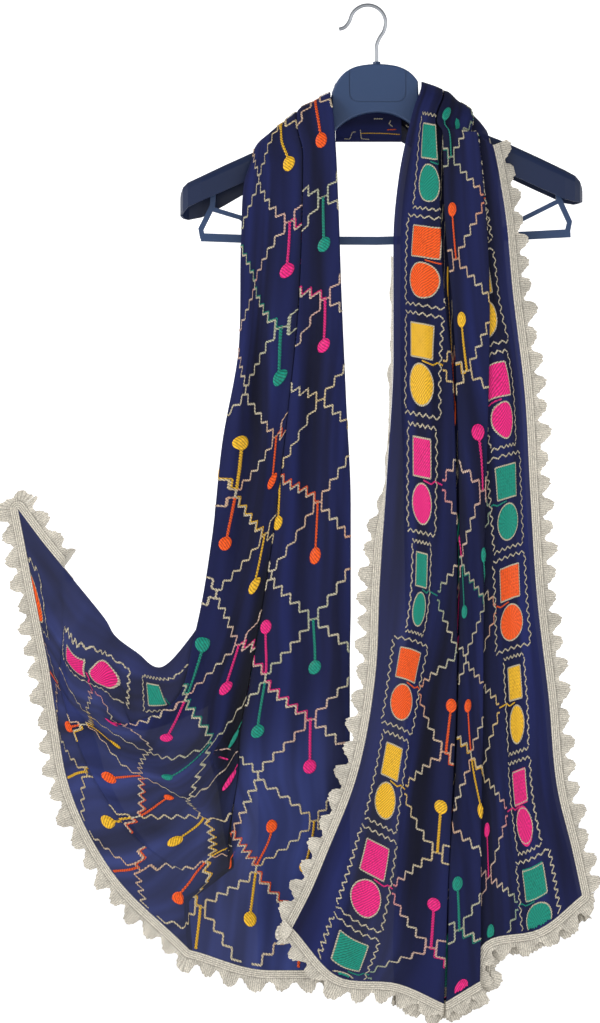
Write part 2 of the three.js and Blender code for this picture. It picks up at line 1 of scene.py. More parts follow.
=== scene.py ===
"""The looks of a phulkari dupatta on a coat hanger: thin georgette, chain stitch and scalloped lace."""

import math

import bpy
import numpy as np
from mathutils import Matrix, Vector


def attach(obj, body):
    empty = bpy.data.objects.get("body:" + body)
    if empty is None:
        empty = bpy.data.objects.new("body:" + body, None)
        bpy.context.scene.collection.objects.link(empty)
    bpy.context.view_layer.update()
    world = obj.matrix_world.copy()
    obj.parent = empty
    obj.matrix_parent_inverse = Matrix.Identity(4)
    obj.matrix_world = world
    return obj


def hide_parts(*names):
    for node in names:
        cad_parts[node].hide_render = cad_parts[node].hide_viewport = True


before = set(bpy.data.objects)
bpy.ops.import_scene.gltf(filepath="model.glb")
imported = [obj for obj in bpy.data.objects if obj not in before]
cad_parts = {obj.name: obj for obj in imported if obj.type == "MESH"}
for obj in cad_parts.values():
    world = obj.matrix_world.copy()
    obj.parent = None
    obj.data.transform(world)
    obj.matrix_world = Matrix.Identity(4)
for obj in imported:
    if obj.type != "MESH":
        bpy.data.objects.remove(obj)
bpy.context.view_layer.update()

MM = 0.001
CLOTH_WIDTH = 780.0
CLOTH_LENGTH = 2221.5
LACE_REACH = 20.0
# How far apart the passes of folded cloth lie, in the falls, over the arms and behind the head.
FALL_PITCH, RIDGE_PITCH, NECK_PITCH = 2.2, 1.3, 1.5


# --- small helpers ---
def lerp(a, b, t):
    return a + (b - a) * t


def ease(low, high, x):
    t = np.clip((np.asarray(x, float) - low) / (high - low), 0.0, 1.0)
    return t * t * (3 - 2 * t)


def table(text):
    """Rows of numbers under a line of names."""
    names, *rows = text.split("\n")[1:-1]
    return [dict(zip(names.split(), map(float, row.split()))) for row in rows]


def spines(text):
    """Lines of numbers: a half width, a strength, and the places (x, z) of a line from the top down."""
    lines = [[float(word) for word in line.split()] for line in text.split("\n")[1:-1]]
    return [(list(zip(line[2::2], line[3::2])), line[0], line[1]) for line in lines]


def vec(x, y, z):
    return np.array([x, y, z], float)


def unit(v):
    size = np.linalg.norm(v, axis=-1, keepdims=True)
    return v / np.maximum(size, 1e-9)


def chain_length(chain):
    return float(sum(np.linalg.norm(b - a) for a, b in zip(chain, chain[1:])))


def run_of(points):
    """How far each point lies along the line through them all."""
    return np.concatenate([[0], np.cumsum(np.linalg.norm(np.diff(points, axis=0), axis=1))])


def along_chain(chain, distance):
    left = distance
    for i, (a, b) in enumerate(zip(chain, chain[1:])):
        step = float(np.linalg.norm(b - a))
        if left <= step or i + 2 == len(chain):
            return a + (b - a) * (left / step)
        left -= step


def linear(hex_colour):
    """A colour written as RRGGBB, as linear light."""
    values = [int(hex_colour[i : i + 2], 16) / 255 for i in (0, 2, 4)]
    return np.array([c / 12.92 if c <= 0.04045 else ((c + 0.055) / 1.055) ** 2.4 for c in values])


# --- how a row of cloth is folded ---
# A row has panels, which are chains of guide points on the visible face, and an inward direction.
# Its stations follow the cloth from one long edge to the other: a panel, a place along that panel,
# and a level, which counts the hidden passes inward from the visible face.
def turn(panel, place, heading, start, end, pitch, softness=1.0):
    radius = abs(end - start) * pitch * softness / 2
    return [
        (panel, place - heading * radius, start),
        (panel, place, (start + end) / 2),
        (panel, place - heading * radius, end),
    ]


def points_of(row, stations):
    panels, inward, pitch = row["panels"], row["inward"], row["pitch"]
    return np.array([along_chain(panels[p], place) + inward * level * pitch for p, place, level in stations])


def inward_of(roll, slope):
    angle = math.radians(roll)
    up = vec(-math.sin(slope), 0, math.cos(slope))
    return up * -math.sin(angle) + vec(0, math.cos(angle), 0)


def ridge_rows(rows, cuts, bulge, facts):
    """The rows over an arm, from front to back. cuts parts each row, from inner to outer, into panels."""
    out = []
    for row in rows:
        inner, outer = (vec(*(row[end + axis] for axis in "XYZ")) for end in ("in", "out"))
        slope = math.atan2(outer[2] - inner[2], outer[0] - inner[0])
        upright = slope + math.pi if math.cos(slope) < 0 else slope
        inward = inward_of(row["roll"], upright)
        swell = bulge * math.sin(math.radians(row["roll"]))
        panels = [[lerp(inner, outer, s) - inward * 4 * swell * s * (1 - s) for s in panel] for panel in cuts]
        out.append({**facts, **row, "panels": panels, "inward": inward, "pitch": RIDGE_PITCH, "ridge": True})
    return out


def front_row(row, facts, relief, chains):
    """A row in front. chains names each panel's guide points, and relief gives what stands in or out."""

    def at(name):
        return vec(row[name + "X"], row["front"] + relief.get(name, 0), row[name + "Z"])

    panels = [[at(name) for name in names.split()] for names in chains]
    return {**row, **facts, "panels": panels, "inward": vec(0, 1, 0), "pitch": FALL_PITCH}


def u_along(points, anchors):
    """u at each station: given at some stations, and in proportion to the cloth's length between them."""
    run, keys = run_of(points), sorted(anchors)
    return np.interp(run, [run[k] for k in keys], [anchors[k] for k in keys])


def v_of_rows(rows, grids):
    """v at each station of each row: its own in front, and carried over the arm by the cloth's length."""
    out = []
    for i, (row, points) in enumerate(zip(rows, grids)):
        if row.get("ridge"):
            out.append(out[-1] + np.linalg.norm(points - grids[i - 1], axis=1))
        else:
            out.append(np.full(len(points), float(row["v"])))
    return np.array(out)


# --- the left fall ---
LEFT_ROWS = table("""
v inX inZ lipX lipZ aX aZ bX bZ cX cZ edgeX edgeZ farX farZ hidden tuck front
0 -20 -1072 -198 -1050 -284 -964 -335 -859 -345 -802 -354 -740 -389 -560 5 0 -22
50 -20 -1018 -202 -996 -253 -958 -311 -852 -330 -802 -344 -754 -359 -600 8 0 -22
105 -20 -958 -152 -958 -218 -933 -292 -859 -316 -799 -335 -769 -322 -645 14 0 -23
165 -20 -900 -153 -919 -182 -903 -252 -856 -281 -822 -315 -782 -293 -681 62 0 -23
225 -20 -844 -144 -856 -186 -883 -225 -858 -242 -831 -297 -788 -281 -701 137 8 -24
281 -20 -785 -142 -811 -158 -819 -175 -820 -224 -814 -276 -799 -256 -720 200 51 -24
340 -20 -728 -131 -750 -144 -758 -160 -763 -202 -769 -213 -771 -232 -736 241 124 -25
400 -19 -669 -121 -691 -131 -701 -143 -709 -180 -710 -194 -705 -197 -702 264 150 -26
515 -19 -556 -103 -576 -109 -583 -115 -589 -158 -598 -174 -596 -176 -595 276 195 -27
632 -24 -441 -90 -462 -96 -472 -102 -479 -135 -487 -162 -487 -164 -486 290 195 -28
749 -29 -328 -78 -348 -86 -355 -97 -359 -120 -366 -143 -372 -145 -371 306 195 -30
866 -33 -215 -73 -233 -79 -238 -87 -241 -112 -250 -141 -259 -143 -258 310 195 -31
930 -36 -153 -72 -167 -78 -171 -88 -176 -110 -184 -137 -196 -139 -195 310 195 -32
""")
LEFT_RIDGE = table("""
inX inY inZ outX outY outZ roll
-39 -27 -116 -130 -20 -172 35
-42 -15 -99 -127 -10 -159 65
-42 2 -95 -125 0 -155 90
-42 18 -99 -120 14 -160 125
-41 26 -104 -106 24 -176 165
-40 27 -98 -78 27 -172 180
-36 27 -82 -36 27 -149 180
""")
LEFT_BULGE = 4
LEFT_CUTS = [[0, 0.21, 0.42], [0.42, 0.5, 0.62, 0.8, 1], [1, 1.01]]
LEFT_RELIEF = {
    0: [4, 2, 5, 3, 0],
    50: [3, 3, 5, 4, 2],
    105: [2, -1, -3, -2, 1],
    165: [4, -4, 3, -3, 2],
    225: [3, -6, 4, -4, 3],
    281: [2, -3, -5, 0, 4],
}
HEM_SAG = {0: 12, 50: 8, 105: 4}
# Where the cloth across the dupatta passes each guide: u runs from 0 at the outer long edge to 780.
LEFT_U = table("""
v uIn uLip uExit uA uB uC uEdge uFar
0 685 505 500 391 272 213 154 0
50 683 495 455 391 272 213 150 0
105 680 541 480 391 272 213 148 0
165 678 508 418 391 272 213 142 5
225 674 542 405 350 272 213 140 12
281 672 545 345 310 272 213 152 15
340 670 546 305 288 272 213 203 20
400 674 557 293 283 272 215 203 20
515 677 562 290 280 272 213 197 2
632 664 578 285 279 272 218 197 0
749 647 592 284 279 272 240 165 0
866 645 600 288 281 272 240 165 0
930 645 600 290 283 272 240 165 0
""")
LEFT_INNER_FOLD = 677
# Painted shade and light at each station, carried into the cloth's colour: darker inside the folds and under
# a lip.
LEFT_SHADE = [1, 1, 0.9, *[0.6] * 6, 0.7, 0.95, 1.05, 1, 1, 0.95, *[0.35] * 14]
LEFT_SHADE += [0.4, 0.42, 0.5, 0.82, 1, 0.9, 1.05, *[1] * 8]
# Where the cloth hangs out of true: (u where it starts, u where it is full, how far at each row).
FAN_SHEAR = [(0, 18), (50, 14), (62, 20), (68, 30), (88, 80), (97, 88), (105, 94), (165, 63), (225, 27)]
LEFT_SHEAR = [
    (150, 70, [*FAN_SHEAR, (281, 0), (340, 28), (400, 0)]),
    (588, 618, [(290, 0), (350, 6), (430, 0), (545, -16), (700, -9), (930, -9)]),
]
# The fan is the part below this v, and its border of embroidery runs at this u at each v.
FAN_TOP = 225
FAN_BORDER = [(0, 60), (105, 46), (165, 58), (FAN_TOP, 66)]


def left_front_row(row, facts):
    relief = dict(zip(("a", "b", "c", "edge", "far"), LEFT_RELIEF.get(row["v"], ())))
    made = front_row(row, facts, relief, ("in lip", "lip a b c edge", "edge far"))
    half = lerp(*made["panels"][0], 0.5) - vec(0, 0, HEM_SAG.get(row["v"], 0))
    made["panels"][0].insert(1, half)
    return made


# A fold lies along the fan's hem: the strip at the hem passes under the cloth above it, and comes back.
FOLD_STRENGTH = [[0, 0, 0], [0, 0.2, 0.8, 1, 1], [1, 0]]
# Each step: v, how far up it lies where the cloth is plain and where it is folded, and how far back.
FOLD_STEPS = [(62, 0.22, 0.9, 6), (68, 1 / 3, 1.35, 7), (88, 2 / 3, 0, -2), (97, 0.85, 0.42, -2)]
FOLD_ABOVE = 105


def hem_fold_rows(below, above):
    rows = []
    for v, plain, folded, back in FOLD_STEPS:
        panels = []
        for lower, upper, strengths in zip(below["panels"], above["panels"], FOLD_STRENGTH):
            places = zip(lower, upper, strengths)
            panels.append([lerp(a, b, lerp(plain, folded, s)) + vec(0, back * s, 0) for a, b, s in places])
        names = ("hidden", "uIn", "uLip", "uExit", "uEdge")
        between = {name: lerp(below[name], above[name], plain) for name in names}
        rows.append({**below, **between, "v": v, "panels": panels})
    return rows


def left_stations(row):
    base = left_passes(row, 0.0)
    short = CLOTH_WIDTH - 10 - float(np.linalg.norm(np.diff(points_of(row, base), axis=0), axis=1).sum())
    return left_passes(row, max(0.0, short / 2))


def left_passes(row, extra):
    """The left fall's stations, with two more passes of a given length gathered behind its first panel."""
    first, second, third = (chain_length(p) for p in row["panels"])
    pitch, ridge = row["pitch"], row.get("ridge", False)
    hidden = 310 if ridge else row["hidden"]
    deep = float(ease(10, 90, hidden))
    inside = min(hidden / 5, first - 10)
    outside = min(hidden / 5, second * 0.5 if ridge else second - 15)
    behind, deepest = lerp(1.3, 3, deep), lerp(1.6, 5, deep)
    room = first + 4 if ridge else first + second - LACE_REACH - 6
    back = min(CLOTH_WIDTH - LEFT_INNER_FOLD, room)
    thin = max(0.12, 0.14 * (deepest - behind))
    run = max(2.0, min(extra, first + second - 30))

    def spot(distance, level):
        return (0, distance, level) if distance < first else (1, distance - first, level)

    inner = [spot(back, deepest), spot(back * 0.6, deepest)]
    inner += [(0, 13, deepest), (0, 11, deepest - thin / 2), (0, 13, deepest - thin)]
    inner += [spot(place + run, deepest - level * thin) for place, level in ((10, 1), (12, 1.5), (10, 2))]
    inner += [(0, min(14, first * 0.4), behind), (0, 4, 1.4), (0, 0, 0.6), (0, 3, 0), (0, first / 2, 0)]
    folded = (
        turn(0, first, 1, 0, 1, pitch, 1.4)
        + turn(0, first - inside, -1, 1, 2, pitch)
        + [(1, 0, 3)]
        + turn(1, outside, 1, 4, 3, pitch)
        + turn(1, 0.4 * outside, -1, 3, 2, pitch)
        + turn(1, 0.9 * outside, 1, 2, 1, pitch)
        + turn(1, 0.5, -1, 1, 0, pitch, 1.4)
    )
    valley = []
    for i, (panel, place, level) in enumerate(folded):
        shallow = ((i + 1) / len(folded) - 0.5) * 9
        start = place - first if panel == 0 else place
        across = lerp(shallow, start, deep)
        valley.append((0, first + across, level * deep) if across < 0 else (1, across, level * deep))
    panel = row["panels"][1]
    middle = [(1, chain_length(panel[: i + 1]), 0) for i in (1, 2, 3)]
    return inner + valley + middle + left_outer(row, second, third)


def left_outer(row, second, third):
    pitch, ridge = row["pitch"], row.get("ridge", False)
    if not ridge and row["v"] <= FAN_TOP:
        return [(1, second - 4, 0)] + [(2, t * third, 0) for t in (0, 0.12, 0.25, 0.4, 0.55, 0.7, 0.85, 1)]
    lap = second - 12 if ridge else min(row["tuck"] / 2, second - 22)
    shows = not ridge and row["v"] <= 400
    leaf = 1.2 if shows and row["v"] < 300 else 5
    end = (2, third, 2.2) if shows else (1, second - LACE_REACH - 5, leaf + 1)
    return (
        [(1, second - 3, 0), (1, second, 0.6), (1, second - 3, 1.3), (1, second - 14, lerp(1.3, leaf, 0.6))]
        + turn(1, second - lap, -1, leaf, leaf + 1, pitch)
        + [(1, second - (20 if shows else 31), 2.4 if shows else leaf + 1), end]
    )


def left_rows():
    front = [left_front_row(row, facts) for row, facts in zip(LEFT_ROWS, LEFT_U)]
    fold = next(i for i, row in enumerate(front) if row["v"] == FOLD_ABOVE)
    front[fold:fold] = hem_fold_rows(front[fold - 1], front[fold])
    return front + ridge_rows(LEFT_RIDGE, LEFT_CUTS, LEFT_BULGE, LEFT_U[-1])


def left_anchors(row):
    """u at some of the stations, by their numbers."""
    names = {10: "uIn", 14: "uLip", 30: "uExit", 32: "uA", 33: "uB", 34: "uC", 36: "uEdge", 43: "uFar"}
    anchors = {0: CLOTH_WIDTH, **{station: row[name] for station, name in names.items()}}
    if not row.get("ridge") and row["v"] <= FAN_TOP:
        anchors[39] = float(np.interp(row["v"], *zip(*FAN_BORDER)))
    return anchors


# --- the right fall ---
RIGHT_ROWS = table("""
v inX inZ pX pZ qX qZ lipX lipZ exitX exitZ bendX bendZ startX startZ midX midZ outX outZ hidden lap front
0 -84 -1024 -28 -1080 34 -1086 84 -1108 86 -1106 124 -1083 129 -1040 204 -1022 237 -988 316 85 -44
60 -64 -985 -13 -1031 44 -1048 86 -1056 88 -1040 125 -1023 129 -981 197 -966 226 -937 320 80 -44
127 -45 -940 4 -970 50 -989 88 -997 89 -974 125 -961 129 -914 180 -892 211 -877 324 77 -44
244 -10 -847 23 -861 60 -880 93 -889 97 -840 127 -827 130 -789 164 -775 200 -768 367 80 -43
361 8 -745 41 -752 72 -768 98 -775 100 -730 128 -717 131 -678 162 -661 187 -655 386 78 -41
478 13 -643 59 -650 80 -657 99 -662 101 -619 129 -606 132 -561 153 -552 180 -545 415 98 -39
595 21 -520 60 -529 80 -533 98 -536 99 -475 133 -467 135 -443 147 -439 174 -434 482 68 -37
712 28 -390 58 -396 77 -400 93 -402 94 -348 135 -336 138 -323 147 -322 161 -322 500 60 -35
829 28 -280 60 -284 72 -286 82 -287 84 -228 130 -218 134 -217 142 -218 151 -221 528 70 -33
925 34 -192 67 -196 74 -197 79 -197 82 -142 120 -141 126 -147 131 -150 138 -156 530 77 -33
""")
RIGHT_RIDGE = table("""
inX inY inZ outX outY outZ roll
50 -29 -118 136 -20 -155 35
59 -16 -92 134 -10 -142 65
60 2 -83 131 0 -136 90
60 18 -90 126 14 -142 125
54 26 -100 114 24 -166 165
48 27 -92 80 27 -168 180
38 27 -78 38 27 -149 180
""")
RIGHT_BULGE = 9
RIGHT_LACE_TOP = 829
RIGHT_CUTS = [[0, 0.2, 0.25, 0.28], [0.29, 0.74], [0.76, 0.88, 1]]
RIGHT_U = table("""
v uQ uLip uExit uBend uStart uMid
0 640 606 290 250 165 60
60 650 608 288 243 162 60
127 651 609 285 235 158 60
244 650 612 245 188 125 60
361 654 618 232 168 118 60
478 678 640 220 150 100 60
595 688 660 178 140 72 55
712 693 670 170 100 40 20
829 709 698 170 92 22 11
925 712 704 172 92 15 7
""")
# Painted shade and light at each station, carried into the cloth's colour, and where it hangs out of true, as
# for the left fall.
RIGHT_SHADE = [1.05, 1.15, 0.85, 0.8, 0.72, 0.5, *[0.4] * 29, 0.45, 0.5, 0.98, 1.05, 1, 0.5]
RIGHT_SHADE += [0.4, 0.4, 0.4, 0.5, 1.2, 1.2]
RIGHT_SHEAR = [(300, 200, [(780, 0), (900, -7), (1200, -7)])]


def right_stations(row):
    first, second, third = (chain_length(p) for p in row["panels"])
    pitch, ridge = row["pitch"], row.get("ridge", False)
    stays = 8 if ridge else max(8, -12 - row["inX"])
    inside = min(60, first - stays)
    lap = min((70 if ridge else row["lap"]) / 2, second - 18)
    p, q = (chain_length(row["panels"][0][:count]) for count in (2, 3))

    def far(distance):
        return (1, second - distance + 3) if ridge else (2, third - distance)

    def between(near, deep, heading):
        """Two stations that keep a hidden pass behind the third panel's own line."""
        panel = 1 if ridge else 2
        spots = (second * 0.35, second * 0.7) if ridge else (3, third * 0.42)
        return [(panel, place, level) for place, level in zip(spots[::heading], (near, deep))]

    last = (0.2, 0.8, 1.6) if ridge else (1.4, 1.6, 2)
    return (
        [(0, 0, 0), (0, p, 0), (0, q, 0)]
        + turn(0, first, 1, 0, 1, pitch, 1.4)
        + turn(0, first - inside, -1, 1, 2, pitch)
        + [(0, first - 6, 2.6), (1, 6, 3.6), *between(3.8, 4, 1)]
        + [(*far(26 - place), level) for _, place, level in turn(0, 13, 1, 4, 5, pitch)]
        + [*between(5, 4.6, -1), (1, 6, 4.4), (0, first - 6, 3.6)]
        + turn(0, first - inside + 2, -1, 3, 4, pitch)
        + [(0, first - 6, 4.6), (1, 6, 5.4), *between(5.6, 5.8, 1)]
        + [(*far(9), 6), (*far(5), 4.6), (*far(9), 3.2), *between(3.2, 3.1, -1)]
        + [(1, second - (12 if ridge else 2), 3), (1, min(14, second * 0.4), 2.6)]
        + turn(1, 0.5, -1, 1, 0, pitch, 1.4)
        + [(1, second / 2, 0)]
        + turn(1, second, 1, 0, 1, pitch, 1.2)
        + turn(1, second - lap, -1, 1, 2, pitch)
        + [(2, 1, last[2]), (2, third / 2, last[1]), (2, third, last[0])]
    )


def right_rows():
    chains = ("in p q lip", "exit bend", "start mid out")
    front = [front_row(row, facts, {}, chains) for row, facts in zip(RIGHT_ROWS, RIGHT_U)]
    return front + ridge_rows(RIGHT_RIDGE, RIGHT_CUTS, RIGHT_BULGE, RIGHT_U[-1])


def right_anchors(row):
    """u at some of the stations, by their numbers."""
    names = {2: "uQ", 4: "uLip", 35: "uExit", 39: "uBend", 44: "uStart", 45: "uMid"}
    return {0: CLOTH_WIDTH, 1: INNER_SIDE, **{station: row[name] for station, name in names.items()}, 46: 0}


# --- the stretch behind the head ---
# (x, top) of each row.
NECK_ROWS = [(-35.7, -82), (-10, -76), (14, -75), (37.8, -78)]
NECK_BOTTOM = -149
NECK_FACE = 27
NECK_PASSES = 10


def neck_grid():
    points, us, vs = [], [], []
    for x, top in NECK_ROWS:
        panel = [vec(x, NECK_FACE, top), vec(x, NECK_FACE, NECK_BOTTOM)]
        row = {"panels": [panel], "inward": vec(0, -1, 0), "pitch": NECK_PITCH}
        deep = top - NECK_BOTTOM
        stations = [(0, LACE_REACH + 4, 0)]
        for i in range(NECK_PASSES - 1):
            out = i % 2 == 0
            edge, heading = (deep, 1) if out else (2, -1)
            stations += [(0, deep / 2, i)] + turn(0, edge, heading, i, i + 1, NECK_PITCH)
        stations.append((0, LACE_REACH + 5, NECK_PASSES - 1))
        grid = points_of(row, stations)
        points.append(grid)
        us.append(u_along(grid, {0: CLOTH_WIDTH, len(grid) - 1: 0}))
        vs.append(np.full(len(grid), 1030 + (x - NECK_ROWS[0][0]) * 1.3))
    return np.array(points), np.array(us), np.array(vs)


# --- fine surfaces ---
def refine(values, params, counts):
    """Values at rows, taken smoothly to more rows. params grows down the rows; counts is each gap's steps."""
    gap = np.maximum(np.diff(params, axis=0), 1e-3)[..., None]
    slope = np.diff(values, axis=0) / gap
    tangent = np.empty_like(values)
    tangent[0], tangent[-1] = slope[0], slope[-1]
    tangent[1:-1] = (gap[1:] * slope[:-1] + gap[:-1] * slope[1:]) / (gap[1:] + gap[:-1])
    # no overshoot: never steeper than three times the gentler neighbour, and level where they turn back
    before, after = slope[:-1], slope[1:]
    most = np.where(before * after > 0, 3 * np.minimum(abs(before), abs(after)), 0)
    tangent[1:-1] = np.clip(tangent[1:-1], -most, most)
    out = []
    for i, count in enumerate(counts):
        t = (np.arange(count) / count).reshape(-1, *([1] * (values.ndim - 1)))
        h = gap[i][None]
        a, b, m, n = values[i][None], values[i + 1][None], tangent[i][None], tangent[i + 1][None]
        from_start = a * (2 * t**3 - 3 * t**2 + 1) + m * h * (t**3 - 2 * t**2 + t)
        out.append(from_start + b * (3 * t**2 - 2 * t**3) + n * h * (t**3 - t**2))
    out.append(values[-1:])
    return np.concatenate(out)


# The fine grid's steps across and along the cloth, and the steps of a surface's table in u and v.
STEP_ACROSS, STEP_ALONG = 3.2, 4.5
TABLE_U, TABLE_V = 1.5, 2.0


class Surface:
    """A stretch of cloth as a fine grid of points, with u, v and a painted shade at each, and a place for
    every (u, v).
    """

    def __init__(self, grid, u, v, flip, shade=1.0):
        shades = np.broadcast_to(shade, u.shape)
        stacked = np.concatenate([grid, *(a[..., None] for a in (u, v, shades))], axis=2)
        steps = np.linalg.norm(np.diff(grid, axis=1), axis=2)
        counts = [max(2, int(round(s / STEP_ACROSS))) for s in steps.mean(axis=0)]
        run = np.cumsum(np.maximum(steps, 0.3), axis=1)
        params = np.concatenate([np.zeros((len(grid), 1)), run], axis=1)
        fine = refine(stacked.transpose(1, 0, 2), params.T, counts).transpose(1, 0, 2)
        between = np.linalg.norm(np.diff(fine[..., :3], axis=0), axis=2).mean(axis=1)
        between = np.maximum(between, 1.0)
        counts = [max(2, int(round(s / STEP_ALONG))) for s in between]
        params = np.concatenate([[0], np.cumsum(between)])[:, None].repeat(fine.shape[1], axis=1)
        fine = refine(fine, params, counts)
        self.p, self.u, self.v, self.shade = fine[..., :3].copy(), fine[..., 3], fine[..., 4], fine[..., 5]
        self.u = np.minimum.accumulate(np.clip(self.u, 0, CLOTH_WIDTH), axis=1)
        self.flip = -1.0 if flip else 1.0
        self.painted_backlight = np.zeros(self.u.shape)
        self.measure()

    def measure(self):
        self.n = unit(np.cross(np.gradient(self.p, axis=1), np.gradient(self.p, axis=0))) * self.flip

    def index(self):
        """A table over even steps of u and v of the place, the normal and the reach of the stretch."""
        self.us = np.arange(0, CLOTH_WIDTH + 0.1, TABLE_U)
        self.top = float(self.v[-1].max())
        self.vs = np.arange(0, self.top + 2, TABLE_V)
        data = np.concatenate([self.p, self.n, self.v[..., None]], axis=2)
        rows = len(self.p)
        mid = np.empty((rows, len(self.us), 7))
        ramp = np.linspace(0, 1e-4, self.u.shape[1])
        for r in range(rows):
            key = -self.u[r] + ramp
            for k in range(7):
                mid[r, :, k] = np.interp(-self.us, key, data[r, :, k])
        self.at_uv = np.empty((len(self.us), len(self.vs), 6))
        for i in range(len(self.us)):
            key = np.maximum.accumulate(mid[:, i, 6])
            for k in range(6):
                self.at_uv[i, :, k] = np.interp(self.vs, key, mid[:, i, k])
        self.reach = mid[-1, :, 6]

    def place(self, uv, height):
        """Points at (u, v) raised off the face by a height, and whether each is on this stretch."""
        u, v = uv[:, 0], uv[:, 1]
        fu = np.clip(u / TABLE_U, 0, len(self.us) - 1.001)
        fv = np.clip(v / TABLE_V, 0, len(self.vs) - 1.001)
        i, j = fu.astype(int), fv.astype(int)
        a, b = (fu - i)[:, None], (fv - j)[:, None]
        t = self.at_uv
        before, after = (t[i, j + k] * (1 - a) + t[i + 1, j + k] * a for k in (0, 1))
        value = before * (1 - b) + after * b
        inside = (u > 2) & (u < CLOTH_WIDTH - 2) & (v > 2) & (v < np.interp(u, self.us, self.reach) - 1)
        return value[:, :3] + unit(value[:, 3:]) * np.asarray(height).reshape(-1, 1), inside


def build(rows, stations, anchors, flip, shade, shear=()):
    grids = [points_of(row, stations(row)) for row in rows]
    u = np.array([u_along(g, anchors(row)) for g, row in zip(grids, rows)])
    v = v_of_rows(rows, grids)
    pulled = sum((np.interp(v, *zip(*steps)) * ease(start, full, u) for start, full, steps in shear), 0)
    return Surface(np.array(grids), u, v + pulled, flip, shade)


# --- soft folds pressed through the whole stack, by where they hang, with painted shade in their valleys and painted light on their crests ---
# Each fold: its half width, how far it stands out (-) or in (+), and its places (x, z) from the top down.
LEFT_FOLDS = spines("""
13 4.2 -58 -250 -62 -430 -70 -620 -66 -800 -52 -1020
10 -3.4 -42 -230 -40 -420 -38 -640 -34 -900
11 -3.8 -72 -330 -82 -480 -96 -640 -104 -780
9 4.4 -112 -290 -122 -430 -138 -560 -152 -680
8 -3.6 -126 -300 -144 -460 -166 -600
8 -3.4 -100 -310 -108 -450 -122 -590 -140 -720
18 4 -88 -840 -96 -930 -112 -1050
16 -3 -40 -900 -48 -1000 -52 -1070
12 -3.2 -128 -880 -138 -960 -152 -1050
12 4.6 -139 -640 -145 -788 -153 -880
11 4.6 -170 -690 -186 -760 -226 -812
10 -4 -196 -710 -222 -770 -268 -796
10 -4.4 -150 -800 -176 -850 -232 -874
9 4.4 -298 -818 -225 -834 -150 -808
9 -3.4 -290 -842 -222 -858 -160 -836
10 4.6 -270 -900 -220 -919 -172 -904
12 -3.6 -160 -870 -190 -940 -222 -990
11 4 -176 -900 -214 -948 -260 -970
10 -4.4 -240 -690 -272 -752 -322 -776
9 3.8 -258 -680 -296 -722 -334 -740
8 -3.4 -300 -650 -330 -700 -352 -716
8 3.2 -328 -640 -350 -670 -366 -660
""")
RIGHT_FOLDS = spines("""
10 3.6 40 -240 42 -420 40 -560 34 -720
8 -3.4 64 -230 66 -420 72 -600 70 -780
11 4.2 24 -480 10 -640 -6 -780 -22 -930
11 -3.4 -2 -820 -26 -920 -52 -1000
12 -3.6 52 -620 40 -800 30 -960 20 -1075
10 4 76 -700 72 -860 66 -1000 62 -1090
10 3 2 -930 -8 -1000 -14 -1075
7 -3.2 106 -260 110 -420 112 -600 110 -780
6 3.2 118 -520 118 -700 114 -900 108 -1070
10 3.6 150 -480 156 -640 166 -800 182 -980
8 -3.4 168 -560 178 -700 190 -840 206 -980
8 -3 146 -820 150 -920 158 -1020
""")

# Painted shadow along deep valleys, which only darkens the colour: half width, how dark, and places (x, z)
# from the top down.
LEFT_PAINTED_SHADOWS = spines("""
13 0.72 -112 -560 -118 -640 -128 -716 -150 -820 -166 -883 -160 -960 -148 -1040
10 0.3 -100 -420 -104 -520 -110 -610 -122 -700
12 0.25 -196 -700 -230 -745 -270 -770 -300 -768
13 0.25 -176 -800 -214 -850 -262 -880 -300 -884
""")
RIGHT_PAINTED_SHADOWS = spines("""
15 0.35 76 -560 70 -700 62 -820 58 -930 60 -1060
9 0.35 100 -420 104 -560 104 -700 96 -860 92 -1000
9 0.3 130 -500 134 -640 136 -780 136 -950
""")


# The folds are full below the first of these heights, and gone at the second, where the arms bear the cloth.
FOLDS_LOW, FOLDS_HIGH = -290, -215


def pressed(surface, lines):
    """At each point, the sum of what every line presses, which fades away from the line."""
    x, z = surface.p[..., 0], surface.p[..., 2]
    total = np.zeros_like(x)
    for spine, half, depth in lines:
        nearest, share = np.full_like(x, 1e9), np.zeros_like(x)
        for i, ((ax, az), (bx, bz)) in enumerate(zip(spine, spine[1:])):
            long = (bx - ax) ** 2 + (bz - az) ** 2
            t = np.clip(((x - ax) * (bx - ax) + (z - az) * (bz - az)) / long, 0, 1)
            gap = np.hypot(x - ax - t * (bx - ax), z - az - t * (bz - az))
            share = np.where(gap < nearest, (i + t) / (len(spine) - 1), share)
            nearest = np.minimum(nearest, gap)
        total += depth * np.exp(-((nearest / half) ** 2)) * ease(0, 0.3, share) * (1 - ease(0.75, 1, share))
    return total


def press_folds(surface, folds, shadow_lines):
    moved, dark = pressed(surface, folds), pressed(surface, shadow_lines)
    x, z = surface.p[..., 0], surface.p[..., 2]
    ripple = 0.9 * np.sin(x / 17 + z / 90 + 1.3) * np.sin(z / 61 + 0.4) + 0.6 * np.sin(x / 9.5 - z / 130)
    hanging = 1 - ease(FOLDS_LOW, FOLDS_HIGH, z)
    surface.p[..., 1] += (moved + ripple) * hanging
    # Painted shade in the folds' valleys, painted light on their crests, and painted shadow along the shadow
    # lines.
    surface.shade = surface.shade * np.clip(1 - 0.06 * moved * hanging, 0.6, 1.4) * (1 - dark)
    surface.measure()


# --- meshes ---
def put(name, data):
    """An object in the scene that shows a mesh, a light or a camera."""
    obj = bpy.data.objects.new(name, data)
    bpy.context.scene.collection.objects.link(obj)
    return obj


